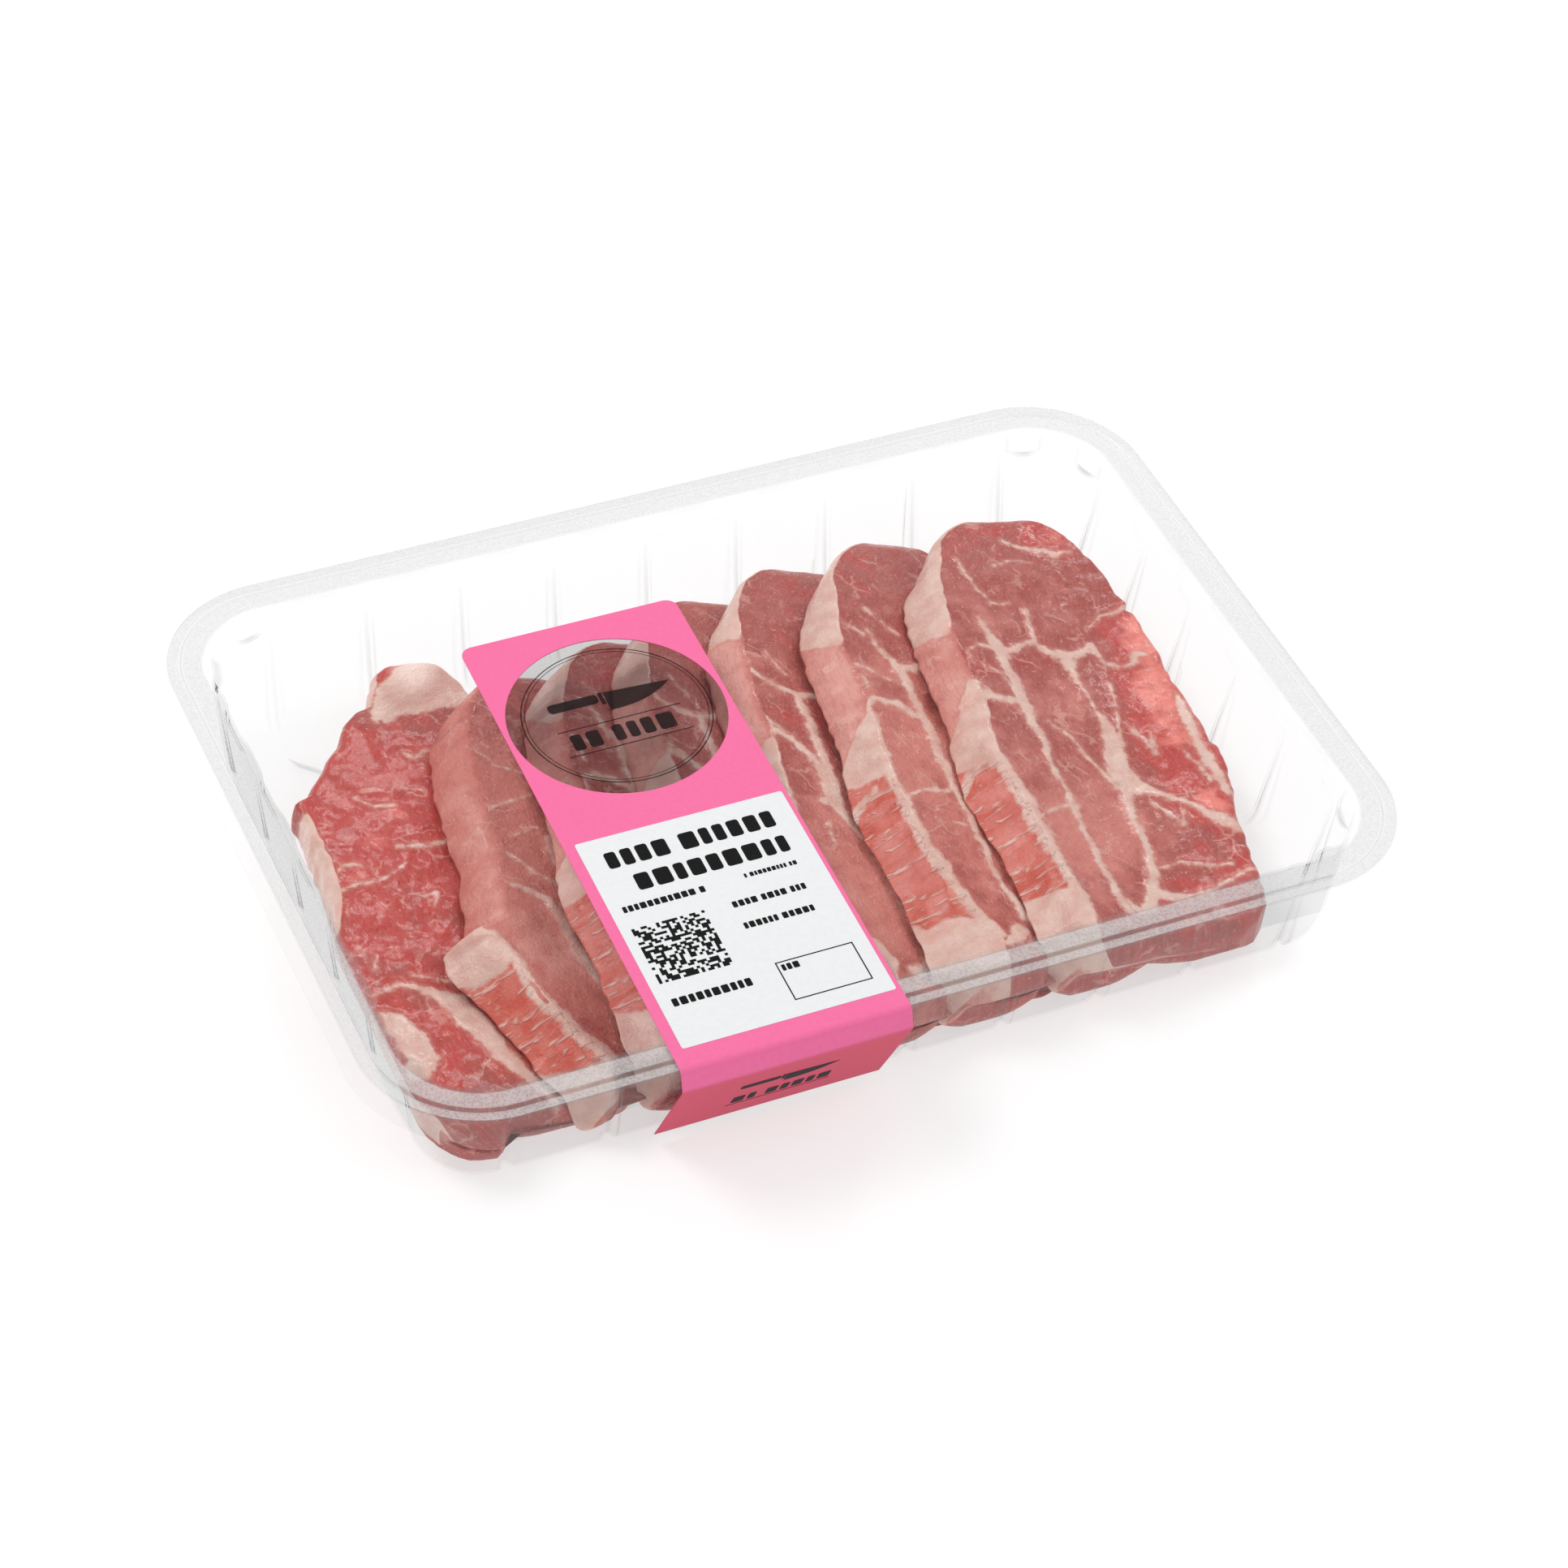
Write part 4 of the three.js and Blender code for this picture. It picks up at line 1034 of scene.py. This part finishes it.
# The label is a band of coated paper stuck to the film. It folds over the front flange, drops
# down the skirt and slants back to the tray's foot. Its back corners are round, and a round hole
# is die cut in it.
LABEL_LOW = 35.55
LABEL_THICK = 0.22
LABEL_WIDTH = 55.5
LABEL_CENTRE_X = -34.0
LABEL_SKEW = 0.021
LABEL_BACK_Y = 51.5
LABEL_CORNER = 3.0
WINDOW_RADIUS = 26.5
WINDOW_Y = 17.8
FOLD_RADIUS = 1.6
LABEL_STAND_OFF = 0.25
LABEL_FOOT = (-TRAY_WIDTH / 2 + wall_inset(FLOOR_FILLET) - 1.3, 2.6)


def label_path():
    """The label's line from back to front and down, as y and z: the flat run, a quarter turn round
    the lip, the skirt, and the slant to the foot."""
    behind_hole = np.linspace(LABEL_BACK_Y - LABEL_CORNER, WINDOW_Y + WINDOW_RADIUS, 4)[1:-1]
    beside_hole = np.cos(np.linspace(0, np.pi, 61)) * WINDOW_RADIUS + WINDOW_Y
    corner = LABEL_BACK_Y - LABEL_CORNER * (1 - np.cos(np.linspace(0, np.pi / 2, 8)))
    lip_y = -TRAY_WIDTH / 2 - LABEL_STAND_OFF
    before_hole = np.linspace(WINDOW_Y - WINDOW_RADIUS, lip_y + FOLD_RADIUS + 1.2, 60)[1:]
    flat = np.concatenate([corner, behind_hole, beside_hole, before_hole])
    bend = np.linspace(0, np.pi / 2 - 0.22, 9)[1:]
    bend_y = lip_y + FOLD_RADIUS + 1.2 - FOLD_RADIUS * np.sin(bend)
    bend_z = LABEL_LOW - FOLD_RADIUS * (1 - np.cos(bend))
    skirt_y = np.linspace(bend_y[-1], lip_y, 6)[1:]
    skirt_z = np.linspace(bend_z[-1], TRAY_HEIGHT - LIP_DROP, 6)[1:]
    slant_y = np.linspace(lip_y, LABEL_FOOT[0], 44)[1:]
    slant_z = np.linspace(TRAY_HEIGHT - LIP_DROP, LABEL_FOOT[1], 44)[1:]
    y = np.concatenate([flat, bend_y, skirt_y, slant_y])
    z = np.concatenate([np.full(len(flat), LABEL_LOW), bend_z, skirt_z, slant_z])
    return y, z


def label_halves():
    """Two grids, one on each side of the label's middle line. A row reaches from the outer edge,
    drawn in near the back corners, to the hole's circle or to the middle line."""
    y, z = label_path()
    on_film = z > LABEL_LOW - 0.01
    past = np.clip((y - (LABEL_BACK_Y - LABEL_CORNER)) / LABEL_CORNER, 0, 1) * on_film
    outer = LABEL_WIDTH / 2 - LABEL_CORNER * (1 - np.sqrt(1 - past ** 2))
    hole = np.sqrt(np.maximum(0, WINDOW_RADIUS ** 2 - (y - WINDOW_Y) ** 2)) * on_film
    share = np.linspace(0, 1, 24)
    for sign in (-1, 1):
        x = sign * (outer[:, None] * (1 - share) + hole[:, None] * share)
        skewed = LABEL_CENTRE_X + x + LABEL_SKEW * y[:, None]
        grid = np.stack([skewed, y[:, None] + 0 * x, z[:, None] + 0 * x], -1)
        yield grid if sign > 0 else grid[:, ::-1]


def joined(name, parts):
    """Several sheets in one mesh, with the points where they meet merged and its faces turned the
    same way."""
    work = bmesh.new()
    for part in parts:
        work.from_mesh(part)
        bpy.data.meshes.remove(part)
    whole = bpy.data.meshes.new(name)
    bmesh.ops.remove_doubles(work, verts=work.verts, dist=2e-6)
    bmesh.ops.dissolve_degenerate(work, edges=work.edges, dist=1e-7)
    bmesh.ops.recalc_face_normals(work, faces=work.faces)
    work.to_mesh(whole)
    work.free()
    whole.shade_smooth()
    return whole


# Coated label stock printed in pink: a smooth satin face with the faintest mottle of the ink.
pink_print, tree, output = new_material("coated_paper_printed_pink")
spot = object_place()
print_and_painted_shade = blend(sum_of(ranged(noise(1.2, 2), 0.3, 0.7), 0.35, "MULTIPLY"), "#f56fa3", "#f77aab")
# Below the fold the pink turns deeper: this is painted shade on the front face, which gets less
# light than the flat top, not a second ink.
height_split = add_node(tree, "ShaderNodeSeparateXYZ", {"Vector": spot})
fold_z = TRAY_HEIGHT - LIP_DROP
painted_shade_below_fold = ranged(height_split.outputs["Z"], (fold_z + 1) * MM, (fold_z - 1) * MM)
print_and_painted_shade = blend(painted_shade_below_fold, print_and_painted_shade, "#cc3358")
press = add_node(
    tree, "ShaderNodeBump", {"Height": noise(0.6, 2)}, Strength=0.12, Distance=0.05 * MM,
)
surface({"Base Color": print_and_painted_shade, "Normal": press.outputs[0]}, Roughness=0.5, IOR=1.33)
label_mesh = joined("label_band_folded", [sheet_mesh("half", grid) for grid in label_halves()])
label = new_piece("label_band_folded", label_mesh, pink_print)
thicken(label, LABEL_THICK)
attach(label, "root")
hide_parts("label_band")


# A clear patch fills the label's hole. Its dark tint is painted shade, darkening the meat under it.
patch_painted_shade, tree, output = new_material("clear_patch_painted_shade")
surface(Base_Color=from_hex("#4a1a22"), Roughness=0.3, IOR=1.4, Alpha=0.16)
EDGE_GAP = 0.05
PANE_THICK = 0.1
WHOLE_TURN = np.linspace(0, 2 * np.pi, 97)
radii = np.linspace(0, 1, 14)[:, None] * (WINDOW_RADIUS - EDGE_GAP)
window_centre = (LABEL_CENTRE_X + LABEL_SKEW * WINDOW_Y, WINDOW_Y)
disc = np.stack([
    window_centre[0] + radii * np.cos(WHOLE_TURN) + LABEL_SKEW * radii * np.sin(WHOLE_TURN),
    window_centre[1] + radii * np.sin(WHOLE_TURN),
    np.full((len(radii), len(WHOLE_TURN)), LABEL_LOW + EDGE_GAP),
], -1)
window_mesh = joined("label_window_pane", [sheet_mesh("disc", disc)])
window = new_piece("label_window_pane", window_mesh, patch_painted_shade)
thicken(window, PANE_THICK)
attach(window, "root")
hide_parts("label_window")

# The print is plain shapes in black ink on a white panel: blocks in rows where words go, a square
# of random cells, an outlined box, and a carving knife in a double ring.
PRINT_TOP = LABEL_LOW + LABEL_THICK
PANEL_CORNERS = (-25.0, -86.2, 26.7, -19.3)
PANEL_THICK = 0.04
INK_THICK = 0.03
ON_PAPER = 0.02
ON_PANEL = 0.08


def on_top(u, v, lift):
    """A place on the label's flat top, u across it and v along it, that far above the paper."""
    return LABEL_CENTRE_X + LABEL_SKEW * v + u, v, PRINT_TOP + lift


def on_front(u, v, lift):
    """A place on the label's front slope, v millimetres up from the middle of the slope."""
    top = Vector((-TRAY_WIDTH / 2 - LABEL_STAND_OFF, TRAY_HEIGHT - LIP_DROP))
    foot_end = Vector(LABEL_FOOT)
    down = (foot_end - top).normalized()
    out = Vector((down.y, -down.x))
    place = (top + foot_end) / 2 - down * v + out * (LABEL_THICK + lift)
    return LABEL_CENTRE_X + LABEL_SKEW * place.x + u, place.x, place.y


def bar(u0, v0, u1, v1, radius=0.0):
    """A rectangle by two opposite corners, with its corners rounded where there is a radius."""
    if not radius:
        return [(u0, v0), (u1, v0), (u1, v1), (u0, v1)]
    turns = [(u1, v1, 0), (u0, v1, 1), (u0, v0, 2), (u1, v0, 3)]
    points = []
    for u, v, quarter in turns:
        middle_u = u - radius * np.sign(u - (u0 + u1) / 2)
        middle_v = v - radius * np.sign(v - (v0 + v1) / 2)
        for a in np.linspace(quarter * np.pi / 2, (quarter + 1) * np.pi / 2, 5):
            points.append((middle_u + radius * math.cos(a), middle_v + radius * math.sin(a)))
    return points


def block_row(u0, u1, v, height, rng):
    """A row of blocks with small gaps in place of words, with a wider gap now and then."""
    shapes = []
    while u0 < u1 - 0.5 * height:
        width = height * rng.uniform(0.45, 0.8)
        shapes.append(bar(u0, v, min(u0 + width, u1), v + height, height * 0.14))
        u0 += width + height * (0.6 if rng.random() < 0.15 else 0.2)
    return shapes


def ring_quads(radius, width, middle):
    """A thin ring as quads, with points in as many directions as the pane has."""
    way = np.stack([np.cos(WHOLE_TURN), np.sin(WHOLE_TURN)], -1)
    inner, outer = way * (radius - width / 2) + middle, way * (radius + width / 2) + middle
    return list(np.stack([inner[:-1], outer[:-1], outer[1:], inner[1:]], 1))


def knife(u, v, length):
    """A carving knife that points right: a blade with a curved belly, a bolster and a handle."""
    unit = length / 26
    t = np.linspace(0, 1, 16)
    belly = [(u + (-1 + 14 * s) * unit, v + (-2.6 + 4.4 * s ** 2.6) * unit) for s in t]
    spine = [(u + (13 - 14 * s) * unit, v + (1.8 + 0.9 * s) * unit) for s in t[1:]]
    handle = bar(u - 13 * unit, v + 0.1 * unit, u - 2.4 * unit, v + 2.7 * unit, 0.9 * unit)
    bolster = bar(u - 2.1 * unit, v - 0.6 * unit, u - 1.2 * unit, v + 2.8 * unit)
    return [belly + spine, handle, bolster]


def print_mesh(name, groups):
    """Flat shapes in one mesh. Each group is a list of outlines, how they are placed on the label,
    and how far above the paper they lie."""
    points, faces = [], []
    for shapes, place, lift in groups:
        for shape in shapes:
            faces.append(tuple(range(len(points), len(points) + len(shape))))
            points += [Vector(place(u, v, lift)) * MM for u, v in shape]
    mesh = bpy.data.meshes.new(name)
    mesh.from_pydata(points, [], faces)
    return mesh


rng = np.random.default_rng(12)
panel_print = block_row(-20, 22, -29.5, 5.2, rng) + block_row(-16, 24, -38, 5.2, rng)
for u0, u1, v in ((-22, -2, -43.5), (2, 20, -50.5), (2, 20, -57.5)):
    panel_print += block_row(u0, u1, v, 1.9, rng)
panel_print += block_row(8, 21, -42.6, 1.3, rng)
CELL_SIZE = 0.74
filled = rng.random((24, 24)) < 0.52
for row, column in np.argwhere(filled):
    u, v = -22.5 + column * CELL_SIZE, -66.5 + row * CELL_SIZE
    panel_print.append(bar(u, v, u + CELL_SIZE, v + CELL_SIZE))
LINE = 0.3
west, south, east, north = 4.0, -81.5, 23.0, -69.5
panel_print += [
    bar(west, south, east, south + LINE), bar(west, north - LINE, east, north),
    bar(west, south + LINE, west + LINE, north - LINE),
    bar(east - LINE, south + LINE, east, north - LINE),
]
panel_print += block_row(5, 10, -72.4, 1.9, rng) + block_row(-22, -2, -74, 2.4, rng)
front_print = knife(0.5, 4, 24) + block_row(-11.5, 12.5, -6.2, 4.2, rng)
front_print.append(bar(-12.5, -7.6, 13, -7.3))
window_print = ring_quads(22.8, 0.3, (0, WINDOW_Y)) + ring_quads(21.9, 0.18, (0, WINDOW_Y))
window_print += knife(0.5, WINDOW_Y + 5, 31)
window_print += block_row(-13.5, 13.5, WINDOW_Y - 8.5, 5.4, rng)
window_print += [bar(-15.5, WINDOW_Y + v, 15.5, WINDOW_Y + v + LINE) for v in (-1.6, -10.2)]

# The white panel is a second sheet of matt thermal paper, and the ink on it is flat black with a
# little speckle in its edge.
thermal_paper, tree, output = new_material("matt_thermal_paper_white")
spot = object_place()
white = blend(sum_of(ranged(noise(1.5, 2), 0.3, 0.7), 0.4, "MULTIPLY"), "#e9ebec", "#f1f2f3")
surface({"Base Color": white}, Roughness=0.6, IOR=1.45)
panel_shape = [bar(*PANEL_CORNERS, 0.6)]
panel_mesh = print_mesh("label_panel_white", [(panel_shape, on_top, ON_PAPER)])
panel = new_piece("label_panel_white", panel_mesh, thermal_paper)
thicken(panel, PANEL_THICK)
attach(panel, "root")

black_ink, tree, output = new_material("black_print_ink")
spot = object_place()
black = blend(sum_of(ranged(noise(0.5, 2), 0.45, 0.8), 0.5, "MULTIPLY"), "#030203", "#1d191c")
surface({"Base Color": black}, Roughness=0.6, IOR=1.25)
prints = [(panel_print, on_top, ON_PANEL), (front_print, on_front, ON_PAPER)]
ink_mesh = print_mesh("label_print_black", prints)
ink_piece = new_piece("label_print_black", ink_mesh, black_ink)
thicken(ink_piece, INK_THICK)
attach(ink_piece, "root")

# On the window the same ink is thin, and the meat's red shows through it.
thin_ink, tree, output = new_material("thin_print_ink_on_film")
surface(Base_Color=from_hex("#120307"), Roughness=0.5, IOR=1.25, Alpha=0.62)
window_ink_mesh = print_mesh("window_print_dark", [(window_print, on_top, ON_PAPER)])
window_ink = new_piece("window_print_dark", window_ink_mesh, thin_ink)
thicken(window_ink, INK_THICK)
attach(window_ink, "root")
